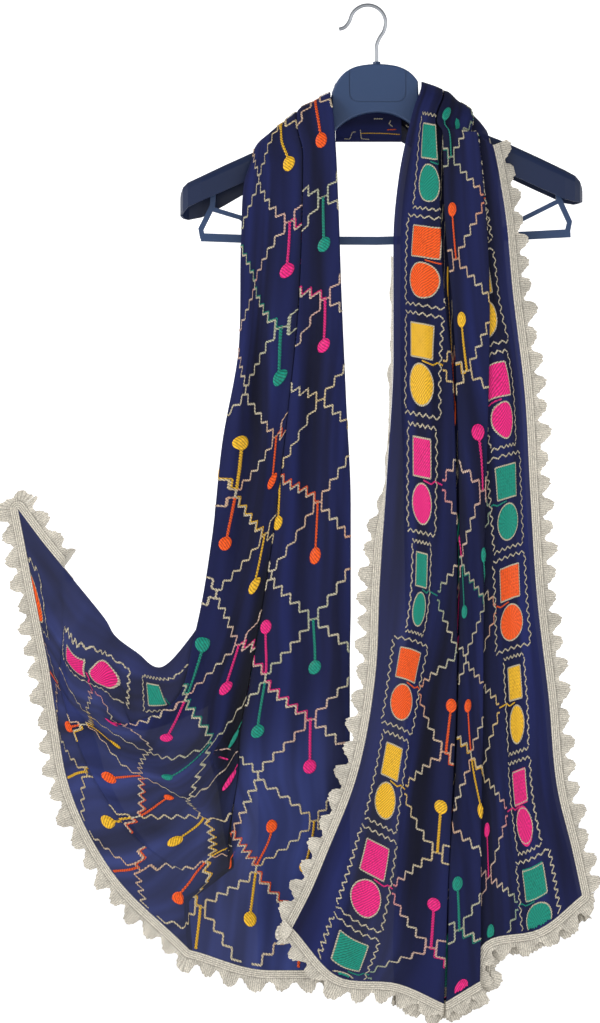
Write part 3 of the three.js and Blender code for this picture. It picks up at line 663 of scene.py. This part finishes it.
def mesh_object(name, material, verts, faces, colours=None):
    mesh = bpy.data.meshes.new(name)
    verts = np.asarray(verts, np.float32) * MM
    faces = np.asarray(faces, np.int32)
    mesh.vertices.add(len(verts))
    mesh.vertices.foreach_set("co", verts.ravel())
    mesh.loops.add(faces.size)
    mesh.loops.foreach_set("vertex_index", faces.ravel())
    mesh.polygons.add(len(faces))
    mesh.polygons.foreach_set("loop_start", np.arange(len(faces), dtype=np.int32) * faces.shape[1])
    mesh.polygons.foreach_set("use_smooth", np.ones(len(faces), bool))
    mesh.update(calc_edges=True)
    mesh.validate()
    if colours is not None:
        layer = mesh.color_attributes.new("thread", "FLOAT_COLOR", "POINT")
        rgba = np.ones((len(verts), 4), np.float32)
        rgba[:, :3] = colours
        layer.data.foreach_set("color", rgba.ravel())
    mesh.materials.append(material)
    return put(name, mesh)


def crossings(rows, cols):
    """Both coordinates of every crossing of some rows and columns."""
    return [grid.ravel() for grid in np.meshgrid(rows, cols, indexing="ij")]


def grid_faces(rows, cols):
    a = (np.arange(rows - 1)[:, None] * cols + np.arange(cols - 1)[None]).ravel()
    return np.stack([a, a + 1, a + cols + 1, a + cols], axis=1)


def lay_flat(obj, places):
    """Keeps where each point lies on the flat cloth, in metres, as the layer "cloth"."""
    layer = obj.data.uv_layers.new(name="cloth")
    index = np.empty(len(obj.data.loops), np.int32)
    obj.data.loops.foreach_get("vertex_index", index)
    layer.data.foreach_set("uv", (places[index] * MM).astype(np.float32).ravel())


# How much more red, green and blue full painted light, as if coming through a single layer, adds to the
# cloth's colour.
PAINTED_BACKLIGHT_RGB = np.array([2.4, 2.3, 1.2])


def cloth_object(name, surface, material):
    rows, cols = surface.p.shape[:2]
    # The cloth's colour layer carries its painted shade and painted light.
    colours = surface.shade.reshape(-1, 1) * (1 + surface.painted_backlight.reshape(-1, 1) * PAINTED_BACKLIGHT_RGB)
    obj = mesh_object(name, material, surface.p.reshape(-1, 3), grid_faces(rows, cols), colours)
    lay_flat(obj, np.stack([surface.u.ravel(), surface.v.ravel()], axis=1))
    return obj


# How far behind the cloth the wrong side of a stitch lies, and how light it is there.
REVERSE, REVERSE_SHADE = -0.35, 0.8
CHAIN_STEP = 1.6


def wrong_side(across, along):
    """How high and how light the back of a patch is."""
    return np.full(len(across), REVERSE), np.full(len(across), REVERSE_SHADE)


class Stitches:
    """Embroidery on one stretch, gathered into one mesh."""

    def __init__(self, surface):
        self.surface, self.count = surface, 0
        self.verts, self.faces, self.colours, self.flat = [], [], [], []

    def add(self, uv, height, faces, colours):
        points, inside = self.surface.place(uv, height)
        faces = faces[inside[faces].all(axis=1)]
        if not len(faces):
            return
        used, inverse = np.unique(faces, return_inverse=True)
        self.verts.append(points[used])
        self.flat.append(uv[used])
        self.colours.append(np.broadcast_to(colours, (len(uv), 3))[used])
        self.faces.append(inverse.reshape(faces.shape) + self.count)
        self.count += len(used)

    def chain(self, path, width, colour, colour_end=None, fade=None, lift=0.35, crown=0.75):
        """A chain stitch along a path of (u, v). fade gives the share of colour_end at each step."""
        path = np.asarray(path, float)
        run = run_of(path)
        count = max(3, int(round(run[-1] / CHAIN_STEP)) + 1)
        s = np.linspace(0, run[-1], count)
        p = np.stack([np.interp(s, run, path[:, 0]), np.interp(s, run, path[:, 1])], axis=1)
        t = unit(np.gradient(p, axis=0))
        side = np.stack([-t[:, 1], t[:, 0]], axis=1)
        odd = np.arange(count) % 2 == 1
        wide = np.where(odd, 1.0, 0.55)[:, None] * width / 2
        uv = np.concatenate([p + side * wide, p, p - side * wide])
        height = np.repeat([lift, lift + crown, lift], count)
        base = np.broadcast_to(colour, (count, 3)).copy()
        if colour_end is not None:
            share = fade(s, run[-1])[:, None]
            base = base * (1 - share) + np.asarray(colour_end) * share
        # Painted light and shade on the chain's loops: the wide loops light at the sides and dark on the
        # crown, the narrow ones the other way.
        loop_shade = np.where(odd, 1.0, 0.5)[:, None]
        colours = np.concatenate([base * loop_shade, base * (1.45 - loop_shade), base * loop_shade])
        self.add(uv, height, grid_faces(3, count), colours)
        if lift > 0:
            kept = np.unique(np.append(np.arange(0, count, 2), count - 1))
            flat = np.concatenate([p[kept] + side[kept] * width * 0.4, p[kept] - side[kept] * width * 0.4])
            self.add(flat, REVERSE, grid_faces(2, len(kept)), np.tile(base[kept], (2, 1)) * REVERSE_SHADE)

    def disc(self, centre, radii, colour, look, rings, spokes):
        """A round patch and its wrong side; look gives height and tint at (share of the radius, angle)."""
        for rows, cols, side in ((rings, spokes + 1, look), (2, 21, wrong_side)):
            share, angle = crossings(np.linspace(0, 1, rows), np.linspace(0, 2 * math.pi, cols))
            height, tint = side(share, angle)
            x, y = radii[0] * share * np.cos(angle), radii[1] * share * np.sin(angle)
            uv = np.stack([centre[0] + x, centre[1] + y], axis=1)
            self.add(uv, height, grid_faces(rows, cols), colour * tint[:, None])

    def square(self, centre, halves, colour):
        """A square patch of ridges that meet on its diagonals, and its wrong side."""

        def ridges(x, y):
            ring = np.maximum(abs(x), abs(y)) * halves[1]
            lines = np.where(abs(x) > abs(y), y, x) * halves[1]
            ridge = np.cos(2 * math.pi * lines / 2.7)
            seam = np.exp(-(((abs(x) - abs(y)) * halves[1] / 1.2) ** 2))
            height = 0.8 + 0.3 * ridge - 0.25 * seam - 0.5 * ease(halves[1] - 1.5, halves[1], ring)
            # The tint is painted light on the ridges and painted shade in the seam's groove; its faint rings
            # are a pattern.
            return height, 0.88 + 0.16 * ridge - 0.12 * seam + 0.06 * np.cos(2 * math.pi * ring / 5.4)

        for cells, look in ((24, ridges), (6, wrong_side)):
            x, y = crossings(np.linspace(-1, 1, cells), np.linspace(-1, 1, cells))
            height, tint = look(x, y)
            uv = np.stack([centre[0] + x * halves[0], centre[1] + y * halves[1]], axis=1)
            self.add(uv, height, grid_faces(cells, cells), colour * tint[:, None])

    def made(self, name, material):
        parts = (np.concatenate(part) for part in (self.verts, self.faces, self.colours))
        obj = mesh_object(name, material, *parts)
        lay_flat(obj, np.concatenate(self.flat))
        return obj


# --- the embroidery's plan ---
ORANGE, YELLOW, PINK, TEAL = (linear(c) for c in ("FA5A0E", "F4BC24", "F01C80", "00907A"))
CREAM = linear("D9CDB2")
# The lattice's columns and levels, the steps of its stairs, and the bars that part two stairs.
FIRST_COLUMN, COLUMN, COLUMNS = 95, 59.0, 10
FIRST_LEVEL, LEVEL = -11.5, 58.5
STEP_U, RUN, STEPS = 11.75, 6.0, 5
BAR = 10.0
# How long a pendant is, and the radius of its ball.
BALL_REACH, BALL = 54.0, 7.6
# u of the two columns of pairs, and how far apart pairs are in v.
OUTER_SIDE, INNER_SIDE = 60, 720
PAIR_PITCH = 2 * LEVEL
PAIR_COLOURS, OTHER_COLOURS = (ORANGE, YELLOW, PINK, TEAL), (YELLOW, ORANGE, TEAL, PINK)
# How wide the chain stitch is in each kind of line.
STAIR_WIDTH, BESIDE_WIDTH, BAR_WIDTH, STEM_WIDTH, FRAME_WIDTH, LINK_WIDTH = 2.7, 1.6, 3.0, 3.7, 2.1, 2.2


def node_of(k, level):
    """(gap between the stairs, colour of the pendant towards +v, colour of the one towards -v) at a node."""
    m = (level - 1) // 2 if k % 2 else (level - 2) // 2
    if k % 2:
        return 0.0, None, (PAIR_COLOURS if k in (1, 5, 9) else OTHER_COLOURS)[m % 4]
    if k in (0, COLUMNS):
        colour = PAIR_COLOURS[(level // 2) % 4]
        return BAR, colour, None
    if m % 2:
        return BAR, None, None
    up, down = (ORANGE, YELLOW) if m % 4 == 0 else (PINK, TEAL)
    return (BAR, up, down) if k in (4, 8) else (BAR, down, up)


def stairs(k, low, low_gap, high_gap, heading):
    """The stair from the node (k, low) to the node one level up and one column across."""
    u0, v0 = FIRST_COLUMN + COLUMN * k, FIRST_LEVEL + LEVEL * low + low_gap / 2
    rise = (LEVEL - low_gap / 2 - high_gap / 2) / STEPS
    path = [(u0, v0), (u0 + heading * RUN, v0)]
    u, v = path[-1]
    for i in range(STEPS):
        v += rise
        path.append((u, v))
        if i < STEPS - 1:
            u += heading * STEP_U
            path.append((u, v))
    path.append((u0 + heading * COLUMN, v))
    return np.array(path)


def nearer(up, down, heading):
    """The colour that a node lends to a stair: of the pendant on the stair's side, or else of the other."""
    return up if down is None or heading < 0 and up is not None else down


def wound_ball(share, angle):
    wind = np.cos(2 * math.pi * share * 3.4 - angle)
    # The tint is painted light on the raised winds of the ball and painted shade between them.
    return 0.4 + 1.7 * np.sqrt(np.maximum(0, 1 - share**2)) + 0.22 * wind, 0.86 + 0.2 * wind


def lattice(stitches, from_right_hem):
    """The stairs, bars, pendants and pairs on a stretch. The right fall's are laid out from its hem."""
    length = CLOTH_LENGTH if from_right_hem else 0.0

    def local(path):
        path = np.asarray(path, float)
        if not from_right_hem:
            return path
        # Near the outer corner the pattern stands a little further from the hem.
        u, v = path[:, 0], length - path[:, 1]
        return np.stack([u, v + 24 * (1 - ease(-20, 200, v)) * (1 - ease(100, 170, u))], axis=1)

    top = stitches.surface.top
    low, high = (length - top, length) if from_right_hem else (0.0, top)

    def levels(pitch):
        """The numbers of the levels, of a given pitch, that reach this stretch."""
        return range(int((low - FIRST_LEVEL) // pitch) - 1, int((high - FIRST_LEVEL) // pitch) + 2)

    def tint(k):
        return 0.6 if k in (0, COLUMNS) else 0.34

    def stair(path, colour, fade):
        stitches.chain(local(path), STAIR_WIDTH, CREAM, colour, fade)

    for level in levels(LEVEL):
        v = FIRST_LEVEL + LEVEL * level
        for k in range(level % 2, COLUMNS + 1, 2):
            gap, up, down = node_of(k, level)
            for heading in (-1, 1):
                if not 0 <= k + heading <= COLUMNS:
                    continue
                other_gap, other_up, other_down = node_of(k + heading, level + 1)
                path = whole = stairs(k, level, gap, other_gap, heading)
                near, far = nearer(up, down, heading), nearer(other_up, other_down, heading)
                if near is not None:
                    half = len(path) // 2
                    first, path = path[: half + 1], path[half:]
                    stair(first, near, lambda s, n: tint(k) * (1 - s / n))
                stair(path, far, lambda s, n: tint(k + heading) * (s / n) ** 1.5)
                beside = other_up if k % 2 else up
                if heading < 0 and 0 < k - k % 2 < COLUMNS and beside is not None:
                    stitches.chain(local(whole + 1.7), BESIDE_WIDTH, beside, lift=0.3, crown=0.5)
            u = FIRST_COLUMN + COLUMN * k
            if gap and 0 < k < COLUMNS:
                stitches.chain(local([(u, v - gap / 2), (u, v + gap / 2)]), BAR_WIDTH, CREAM)
            for colour, heading in ((up, 1), (down, -1)):
                if colour is None or k in (0, COLUMNS):
                    continue
                start, end = v + heading * gap / 2, v + heading * (gap / 2 + BALL_REACH)
                beyond_hem = from_right_hem and u > 500 and length - end < 14
                in_fold = not from_right_hem and (k == 2 and v > 700 or (k, level) in ((1, 3), (9, 11)))
                if beyond_hem or in_fold:
                    continue
                stitches.chain(local([(u, start), (u, end)]), STEM_WIDTH, colour, lift=0.5, crown=1.0)
                stitches.disc(local([(u, end)])[0], (BALL, BALL * 1.06), colour, wound_ball, 6, 20)
    for n in levels(PAIR_PITCH):
        for side in (OUTER_SIDE, INNER_SIDE):
            spot = from_right_hem, side, n
            if spot not in HIDDEN_PAIRS:
                pair(stitches, local, spot, PAIR_SCALES.get(spot, (1, 1)))


# Pairs are told apart by whether they count from the right fall's hem, their side and their number.
HIDDEN_PAIRS = (False, OUTER_SIDE, 1), (True, INNER_SIDE, 10)
HIDDEN_CIRCLE = False, OUTER_SIDE, 3
# How much of a pair shows across and along the cloth, where a small tuck takes the rest.
PAIR_SCALES = {
    (False, OUTER_SIDE, 2): (0.76, 0.86),
    (False, OUTER_SIDE, 3): (0.68, 0.86),
    **{(True, OUTER_SIDE, 14 + i): (wide, 1) for i, wide in enumerate((0.76, 1.12, 1.2, 0.68, 0.74))},
    **{(True, INNER_SIDE, 14 + i): (wide, 1) for i, wide in enumerate((0.8, 0.56, 1.1, 0.92))},
    (True, INNER_SIDE, 11): (0.74, 1),
}


def spoked_circle(share, angle):
    ridge, grown = np.cos(30 * angle + 5 * share), ease(0.1, 0.4, share)
    # The tint is painted light on the spokes' ridges and painted shade between them.
    return 0.85 + 0.28 * ridge * grown - 0.5 * ease(0.93, 1, share), 0.88 + 0.17 * ridge * grown


def pair(stitches, place, spot, scale):
    """A square and a circle in a wavy frame, with a coloured link to the lattice."""
    _, u, n = spot
    v, colour = FIRST_LEVEL + PAIR_PITCH * n, PAIR_COLOURS[n % 4]
    inward = 1 if u == OUTER_SIDE else -1

    def local(path):
        return place((np.asarray(path, float) - (u, v)) * scale + (u, v))

    def cream(x, y, **how):
        stitches.chain(local(np.stack([x, y], axis=1)), FRAME_WIDTH, CREAM, **how)

    raised = {"lift": 0.5, "crown": 0.7}
    square, circle = v - 23.0, v + 23.5
    stitches.square(local([(u, square)])[0], (18.5 * scale[0], 18.5 * scale[1]), colour)
    corners = np.array([(-1, -1), (1, -1), (1, 1), (-1, 1), (-1, -1)])
    cream(u + 19 * corners[:, 0], square + 19 * corners[:, 1], **raised)
    if spot != HIDDEN_CIRCLE:
        radii = (20.5 * scale[0], 20.5 * scale[1])
        stitches.disc(local([(u, circle)])[0], radii, colour, spoked_circle, 8, 48)
        ring = np.linspace(0, 2 * math.pi, 41)
        cream(u + 21 * np.cos(ring), circle + 21 * np.sin(ring), **raised)
    half_u, half_v = 31.0, 50.0
    s = np.linspace(-half_v, half_v, 58)
    teeth = np.arange(12)
    for side in (-1, 1):
        wave = 2.3 * np.sin(2 * math.pi * s / 10.9 + n + side)
        cream(u + side * (half_u + wave), v + s)
        cream(u + (teeth * 2 * half_u / 11 - half_u), v + side * (half_v + 1.5 + 3.8 * (teeth % 2)))
    link = [(3, -1), (20, 1.5), (27, -2), (35 / scale[0], 0)]
    stitches.chain(local([(u + inward * x, v + y) for x, y in link]), LINK_WIDTH, colour)


# --- lace ---
LACE_TINT = linear("E4DCCC")


def lace_frame(edge, beside, normal, angles):
    """Where a lace starts, reaches and faces along an edge of the cloth, turned behind it by the angles."""
    raw = unit(edge - beside)
    along = unit(np.gradient(edge, axis=0))
    outward = unit(raw - along * (raw * along).sum(axis=1, keepdims=True))
    angle = np.radians(angles)[:, None]
    inward = -normal
    reach = outward * np.cos(angle) + inward * np.sin(angle)
    face = normal * np.cos(angle) + outward * np.sin(angle)
    start = edge + inward * 1.2 * np.sin(angle / 2)
    return start, reach, face


# The band is four cords side by side: (how far out, how high, how light) of each line along it; each cord's
# low first line is painted shade in the gap between cords.
CORD_LINES = ((0, 0.1, 0.42), (0.55, 0.85, 0.92), (1.65, 0.95, 1))
CORDS = [(2.2 * cord + out, height, light) for cord in range(4) for out, height, light in CORD_LINES]
BAND = 8.8
# A lobe of the fringe: how far it reaches, from one notch to the next.
LOBE = [(0, 0.2), (0.05, 0.52), (0.13, 0.84), (0.26, 1), (0.46, 1), (0.6, 0.86), (0.74, 0.6)]
LOBE += [(0.88, 0.34), (1, 0.2)]
LOBE_REACH = 14.0
THREAD_STEP = 0.78


def lace_object(name, start, reach, face, phase, reverse, pitch):
    """A corded band with a fringe of threads in lobes, along an edge."""
    run = run_of(start + reach * 9)
    count = int(run[-1] / THREAD_STEP)
    s = np.linspace(0, run[-1], count)

    def resample(a):
        return np.stack([np.interp(s, run, a[:, k]) for k in range(3)], axis=1)

    base, out, up = resample(start), unit(resample(reach)), unit(resample(face))
    along = unit(np.gradient(base + out * 9, axis=0))
    wander = 3.0 * np.sin(s / 61 + phase) + 1.8 * np.sin(s / 23 + 2 * phase)
    turns = (s + wander) / pitch + phase
    t = 1 - turns % 1.0 if reverse else turns % 1.0
    lobe = np.floor(turns)
    reaches = LOBE_REACH * (1 + 0.16 * np.sin(lobe * 2.4 + phase) + 0.08 * np.sin(lobe * 5.1))
    length = 1.4 + reaches * np.interp(t, *zip(*LOBE))
    strand = np.array([0.56, 0.9, 1.0])[np.arange(count) % 3]
    ragged = 0.7 * np.sin(np.arange(count) // 3 * 2.17) + 0.4 * np.sin(np.arange(count) * 5.3)
    length = length + ragged * np.minimum(1, length / 6)
    toward = (0.3 - t) * pitch * 0.1 * (-1 if reverse else 1)
    curl = 1.6 * np.sin(s / 19 + phase) + 1.1 * np.sin(s / 7.3 + 3 * phase)
    rows, tints = [], []
    for offset, height, light in CORDS:
        rows.append(base + out * offset + up * (height + 0.12 * strand * height)[:, None])
        tints.append(light * (0.84 + 0.16 * strand))
    for share in (0, 0.15, 0.4, 0.7, 1.0):
        rise_by = 0.2 + 0.5 * strand + curl * share**1.5
        spot = base + out * (BAND + share * length)[:, None] + along * (toward * share**1.3)[:, None]
        rows.append(spot + up * rise_by[:, None])
        # The fringe's root is painted shade under the band, and its threads are painted lighter towards their
        # tips.
        tints.append(strand * (0.5 if share == 0 else 0.86 + 0.14 * share + 0.07 * np.sin(s / 3.1)))
    verts = np.stack(rows).reshape(-1, 3)
    tint = np.clip(np.stack(tints), 0.3, 1.1).reshape(-1, 1)
    return mesh_object(name + "_thread", lace_material, verts, grid_faces(len(rows), count), LACE_TINT * tint)


CORNER_STEPS = 12


def round_corner(lace, following):
    """A lace's lines carried round a corner of the cloth until they point as the next lace's do."""
    t = np.linspace(0, 1, CORNER_STEPS + 1)[1:, None]
    starts = lace[0][-1:] + (following[0][:1] - lace[0][-1:]) * t
    turned = [unit(lace[k][-1:] * (1 - t) + following[k][:1] * t) for k in (1, 2)]
    return [np.concatenate([a, b]) for a, b in zip(lace, [starts, *turned])]


# --- materials ---
def set_inputs(node, inputs):
    for name, value in inputs.items():
        node.inputs[name.replace("_", " ")].default_value = value


def new_material(name, colour, **inputs):
    material = bpy.data.materials.new(name)
    material.use_nodes = True
    shader = material.node_tree.nodes["Principled BSDF"]
    set_inputs(shader, {"Base Color": (*colour, 1), **inputs})
    return material, shader


def add_node(material, kind, **inputs):
    node = material.node_tree.nodes.new(kind)
    set_inputs(node, inputs)
    return node


def raised_grain(material, shader, scale, detail, strength, distance):
    """A fine grain that stands a little out of the surface. Gives the grain itself, too."""
    links = material.node_tree.links
    place = add_node(material, "ShaderNodeTexCoord")
    grain = add_node(material, "ShaderNodeTexNoise", Scale=scale, Detail=detail)
    links.new(place.outputs["Object"], grain.inputs["Vector"])
    bump = add_node(material, "ShaderNodeBump", Strength=strength, Distance=distance)
    links.new(grain.outputs["Fac"], bump.inputs["Height"])
    links.new(bump.outputs["Normal"], shader.inputs["Normal"])
    return grain.outputs["Fac"]


def flat_place(material):
    """Where each point lies on the flat cloth."""
    flat = add_node(material, "ShaderNodeUVMap")
    flat.uv_map = "cloth"
    return flat.outputs["UV"]


def ramp_node(material, low, low_colour, high, high_colour):
    ramp = add_node(material, "ShaderNodeValToRGB")
    for element, place, colour in zip(ramp.color_ramp.elements, (low, high), (low_colour, high_colour)):
        element.position, element.color = place, (*linear(colour), 1)
    return ramp


def by_layer(material, colour):
    """A colour multiplied by the mesh's own layer of colours, which on the cloth holds its painted shade and
    light.
    """
    layer = add_node(material, "ShaderNodeVertexColor")
    layer.layer_name = "thread"
    mix = add_node(material, "ShaderNodeMixRGB", Fac=1.0)
    mix.blend_type = "MULTIPLY"
    material.node_tree.links.new(layer.outputs["Color"], mix.inputs["Color1"])
    material.node_tree.links.new(colour, mix.inputs["Color2"])
    return mix.outputs["Color"]


def georgette():
    """Navy crepe, with painted light and shade of fine folds as soft streaks that run down the cloth."""
    sheen = {"Sheen_Weight": 0.03, "Sheen_Roughness": 0.4, "Sheen_Tint": (*linear("8C96C8"), 1)}
    settings = {"Roughness": 0.8, "Specular_IOR_Level": 0.2, "Alpha": 0.991, **sheen}
    material, shader = new_material("georgette", linear("1B1F55"), **settings)
    links = material.node_tree.links
    raised_grain(material, shader, 900.0, 2.0, 0.25, 0.0004)
    flat = flat_place(material)
    drawn = add_node(material, "ShaderNodeMapping", Scale=(30, 2.4, 1))
    streaks = add_node(material, "ShaderNodeTexNoise", Scale=1.0, Detail=2.0)
    links.new(flat, drawn.inputs["Vector"])
    links.new(drawn.outputs["Vector"], streaks.inputs["Vector"])
    # Painted light and shade of fine folds: a ramp between dark and lighter navy over stretched noise.
    ramp = ramp_node(material, 0.34, "090C28", 0.68, "181F50")
    links.new(streaks.outputs["Fac"], ramp.inputs["Fac"])
    links.new(by_layer(material, ramp.outputs["Color"]), shader.inputs["Base Color"])
    return material


def thread(name, roughness, sheen, mottle, stitched=False):
    settings = {"Roughness": roughness, "Specular_IOR_Level": 0.25, "Sheen_Weight": sheen}
    material, shader = new_material(name, (1, 1, 1), **settings)
    links = material.node_tree.links
    grain = raised_grain(material, shader, 900.0, 1.0, 0.2, 0.0004)
    if stitched:
        flat = flat_place(material)
        waves = {"Scale": 172.0, "Distortion": 2.5, "Detail": 1.0, "Detail_Scale": 0.6}
        rows = add_node(material, "ShaderNodeTexWave", **waves)
        rows.bands_direction = "DIAGONAL"
        links.new(flat, rows.inputs["Vector"])
        grain = rows.outputs["Fac"]
    shade = ramp_node(material, 0.1 if stitched else 0.38, mottle, 0.62, "FFFFFF")
    links.new(grain, shade.inputs["Fac"])
    links.new(by_layer(material, shade.outputs["Color"]), shader.inputs["Base Color"])
    return material


def plastic(name, colour):
    material, shader = new_material(name, linear(colour), Roughness=0.4, Specular_IOR_Level=0.35)
    raised_grain(material, shader, 260.0, 3.0, 0.08, 0.0003)
    return material


def steel():
    material, shader = new_material("hook_steel", linear("9EA1A6"), Roughness=0.3, Metallic=1.0)
    raised_grain(material, shader, 600.0, 2.0, 0.05, 0.0002)
    return material


# --- the cloth and what is sewn on it ---
cloth_material = georgette()
silk = thread("embroidery_silk", 0.5, 0.05, "BABABA", stitched=True)
lace_material = thread("lace_thread", 0.75, 0.1, "C8C8C8")

left = build(left_rows(), left_stations, left_anchors, True, LEFT_SHADE, LEFT_SHEAR)
right = build(right_rows(), right_stations, right_anchors, False, RIGHT_SHADE, RIGHT_SHEAR)
neck = Surface(*neck_grid(), False)
press_folds(left, LEFT_FOLDS, LEFT_PAINTED_SHADOWS)
press_folds(right, RIGHT_FOLDS, RIGHT_PAINTED_SHADOWS)
# Near the hems the cloth hangs single, and the light that comes through it is painted into its colour.
left_x, left_z, right_x = left.p[..., 0], left.p[..., 2], right.p[..., 0]
left.painted_backlight = 1 - ease(190, 340, left.v)
left.painted_backlight *= np.maximum(ease(-190, -130, left_x), 0.55 + 0.45 * ease(-850, -950, left_z))
right.painted_backlight = 0.22 * (1 - ease(50, 150, right.v)) * ease(-60, -10, right_x) * ease(50, 30, right_x)

pieces = {}
for name, surface, from_right in (("left", left, False), ("right", right, True)):
    surface.index()
    pieces[name] = cloth_object(name + "_cloth", surface, cloth_material)
    stitches = Stitches(surface)
    lattice(stitches, from_right)
    pieces[name + "_silk"] = stitches.made(name + "_embroidery", silk)
pieces["neck"] = cloth_object("neck_cloth", neck, cloth_material)
neck.index()
neck_stitches = Stitches(neck)


def on_neck(x, z):
    """(u, v) of a place on the gathered stretch's nearest pass."""
    nearest = neck.p.shape[0] // 2, slice(-16, None)
    u = np.interp(z, neck.p[..., 2][nearest], neck.u[nearest])
    return u, np.interp(x, neck.p[:, -1, 0], neck.v[:, -1])


# The wrong side of the embroidery shows here: a row of yellow stitches and the ends of a few stairs.
for colour, places in (
    (YELLOW, [(-8, -140), (36, -140.5)]),
    (CREAM, [(-8, -136), (-7, -146), (2, -147)]),
    (CREAM, [(-26, -145), (-20, -146), (-17, -138), (-13, -138)]),
    (CREAM, [(7, -124), (17, -124)]),
    (ORANGE, [(22, -136), (32, -135)]),
    (CREAM, [(26, -125), (24, -129), (28, -132)]),
):
    neck_stitches.chain([on_neck(*place) for place in places], 1.6, colour * 0.75, lift=-0.5, crown=-0.4)
pieces["neck_silk"] = neck_stitches.made("neck_embroidery", silk)


def hem_frame(surface):
    return lace_frame(surface.p[0], surface.p[2], surface.n[0], np.zeros(surface.p.shape[1]))


def side_frame(surface, column, beside, angles, rows):
    """The frame of a long edge on the rows that have lace, with another column to tell which way is out."""
    frames = lace_frame(surface.p[:, column], surface.p[:, beside], surface.n[:, column], angles)
    return [a[rows] for a in frames]


left_v, right_v, inner_v = left.v[:, -1], right.v[:, -1], right.v[:, 0]
left_side = side_frame(left, -1, -2, 110 * ease(100, 165, left_v), left_v <= 190)
right_rows_out = (right.p[:, -1, 2] < -146) & (right.p[:, -1, 1] < -12)
right_side = side_frame(right, -1, -2, 42 * ease(560, 900, right_v), right_rows_out)
inner_side = side_frame(right, 0, 1, 97 * ease(505, 590, inner_v), inner_v <= RIGHT_LACE_TOP)
left_hem = round_corner(hem_frame(left), left_side)
right_hem = round_corner(hem_frame(right), right_side)
inner_down = round_corner([a[::-1] for a in inner_side], right_hem)

# Each lace: its frame, where its lobes begin, whether they lean the other way, and how far apart they are.
LACES = {
    "left_hem": (left_hem, 0.2, False, 26.5),
    "left_outer": (left_side, 0.55, True, 26.5),
    "right_hem": (right_hem, 0.35, False, 26.5),
    "right_outer": (right_side, 0.1, True, 26.5),
    "right_inner": (inner_down, 0.75, False, 28),
}
for name, (lines, *how) in LACES.items():
    pieces[name + "_lace"] = lace_object(name, *lines, *how)


def tassel(name, knot, first, last, length, strands):
    """Threads that spread from a knot, from one angle to another, in degrees."""
    order = np.arange(strands)
    angle = np.radians(first + (last - first) * order / (strands - 1))
    reach = length * (0.9 + 0.12 * np.sin(order * 2.3))
    out = np.stack([np.cos(angle), np.zeros(strands), np.sin(angle)], axis=1)
    across = np.stack([-np.sin(angle), np.zeros(strands), np.cos(angle)], axis=1)
    rows = []
    for share, wide, rise in ((0.04, 0.3, 0), (0.5, 0.75, -1.6), (1, 0.7, -0.4)):
        middle = vec(*knot) + out * (reach * share)[:, None] + vec(0, rise, 0)
        middle -= vec(0, 0.4, 0) * (order % 2)[:, None]
        rows += [middle - across * wide, middle + across * wide]
    verts = np.stack(rows, axis=1).reshape(-1, 3)
    faces = np.concatenate([order[:, None] * 6 + [2 * k, 2 * k + 1, 2 * k + 3, 2 * k + 2] for k in range(2)])
    tint = (0.72 + 0.28 * np.array([0.5, 1, 0.8])[order % 3])[:, None] * np.ones(6)
    return mesh_object(name, lace_material, verts, faces, LACE_TINT * tint.reshape(-1, 1))


pieces["right_tassel"] = tassel("right_corner_tassel", (-84, -47, -1026), 128, 232, 15, 26)

# --- the hanger ---
# The arms' plastic is a darker copy of the head's: painted shade on the arms.
head_plastic, shaded_arm_plastic = plastic("hanger_plastic", "273C5E"), plastic("hanger_arm_plastic", "06193B")
hanger_looks = {
    "hook": steel(),
    "hanger_head": head_plastic,
    "trouser_bar": head_plastic,
    "left_arm": shaded_arm_plastic,
    "right_arm": shaded_arm_plastic,
}
for node, material in hanger_looks.items():
    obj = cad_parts[node]
    obj.data.materials.clear()
    obj.data.materials.append(material)

# --- the floor, the light and the camera ---
glow = {"Emission_Color": (1, 1, 1, 1), "Emission_Strength": 0.66}
ground, _ = new_material("studio_pale", (0.85, 0.85, 0.85), Roughness=0.9, **glow)
# A round floor that curves up into a low wall, with room for a camera on every side.
FLOOR, WALL, WALL_TOP = -1360, 16000, 2700
SPOKES = 73
outline = [(0.1, FLOOR), (13600, FLOOR), (14800, -1250), (15600, -800), (WALL, 0), (WALL, WALL_TOP)]
radius, height = np.array(outline, float).T[..., None]
around = np.linspace(0, 2 * math.pi, SPOKES)
verts = np.stack([radius * np.cos(around), radius * np.sin(around), height.repeat(SPOKES, axis=1)], axis=2)
sweep = mesh_object("studio_sweep", ground, verts.reshape(-1, 3), grid_faces(len(outline), SPOKES))

world = bpy.data.worlds.new("studio")
bpy.context.scene.world = world
bpy.context.scene.view_settings.view_transform = "Standard"
world.use_nodes = True
set_inputs(world.node_tree.nodes["Background"], {"Color": (0.95, 0.97, 1.0, 1), "Strength": 0.4})


def softbox(name, place, aim, size, power):
    light = bpy.data.lights.new(name, "AREA")
    light.shape, light.size, light.energy = "SQUARE", size, power
    obj = put(name, light)
    obj.location = Vector(place)
    obj.rotation_euler = (Vector(aim) - Vector(place)).to_track_quat("-Z", "Y").to_euler()


softbox("key", (-2.3, -1.6, 0.7), (0, 0, -0.55), 1.3, 46)
softbox("fill", (2.2, -2.2, -0.2), (0, 0, -0.6), 1.8, 12)

camera = bpy.data.cameras.new("camera")
camera.sensor_fit = "VERTICAL"
camera.sensor_height = 36
camera.lens = 200
camera_obj = put("camera", camera)
camera_obj.location = (-0.0755, -6.3385, -0.5628)
camera_obj.rotation_euler = (math.pi / 2, 0, 0)
bpy.context.scene.camera = camera_obj

# --- what stands for what ---
for obj in pieces.values():
    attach(obj, "root")
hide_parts("left_fall")
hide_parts("right_fall")
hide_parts("neck_stretch")
for name in ("left_hem_lace", "left_outer_lace", "right_hem_lace", "right_outer_lace", "right_inner_lace"):
    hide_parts(name)
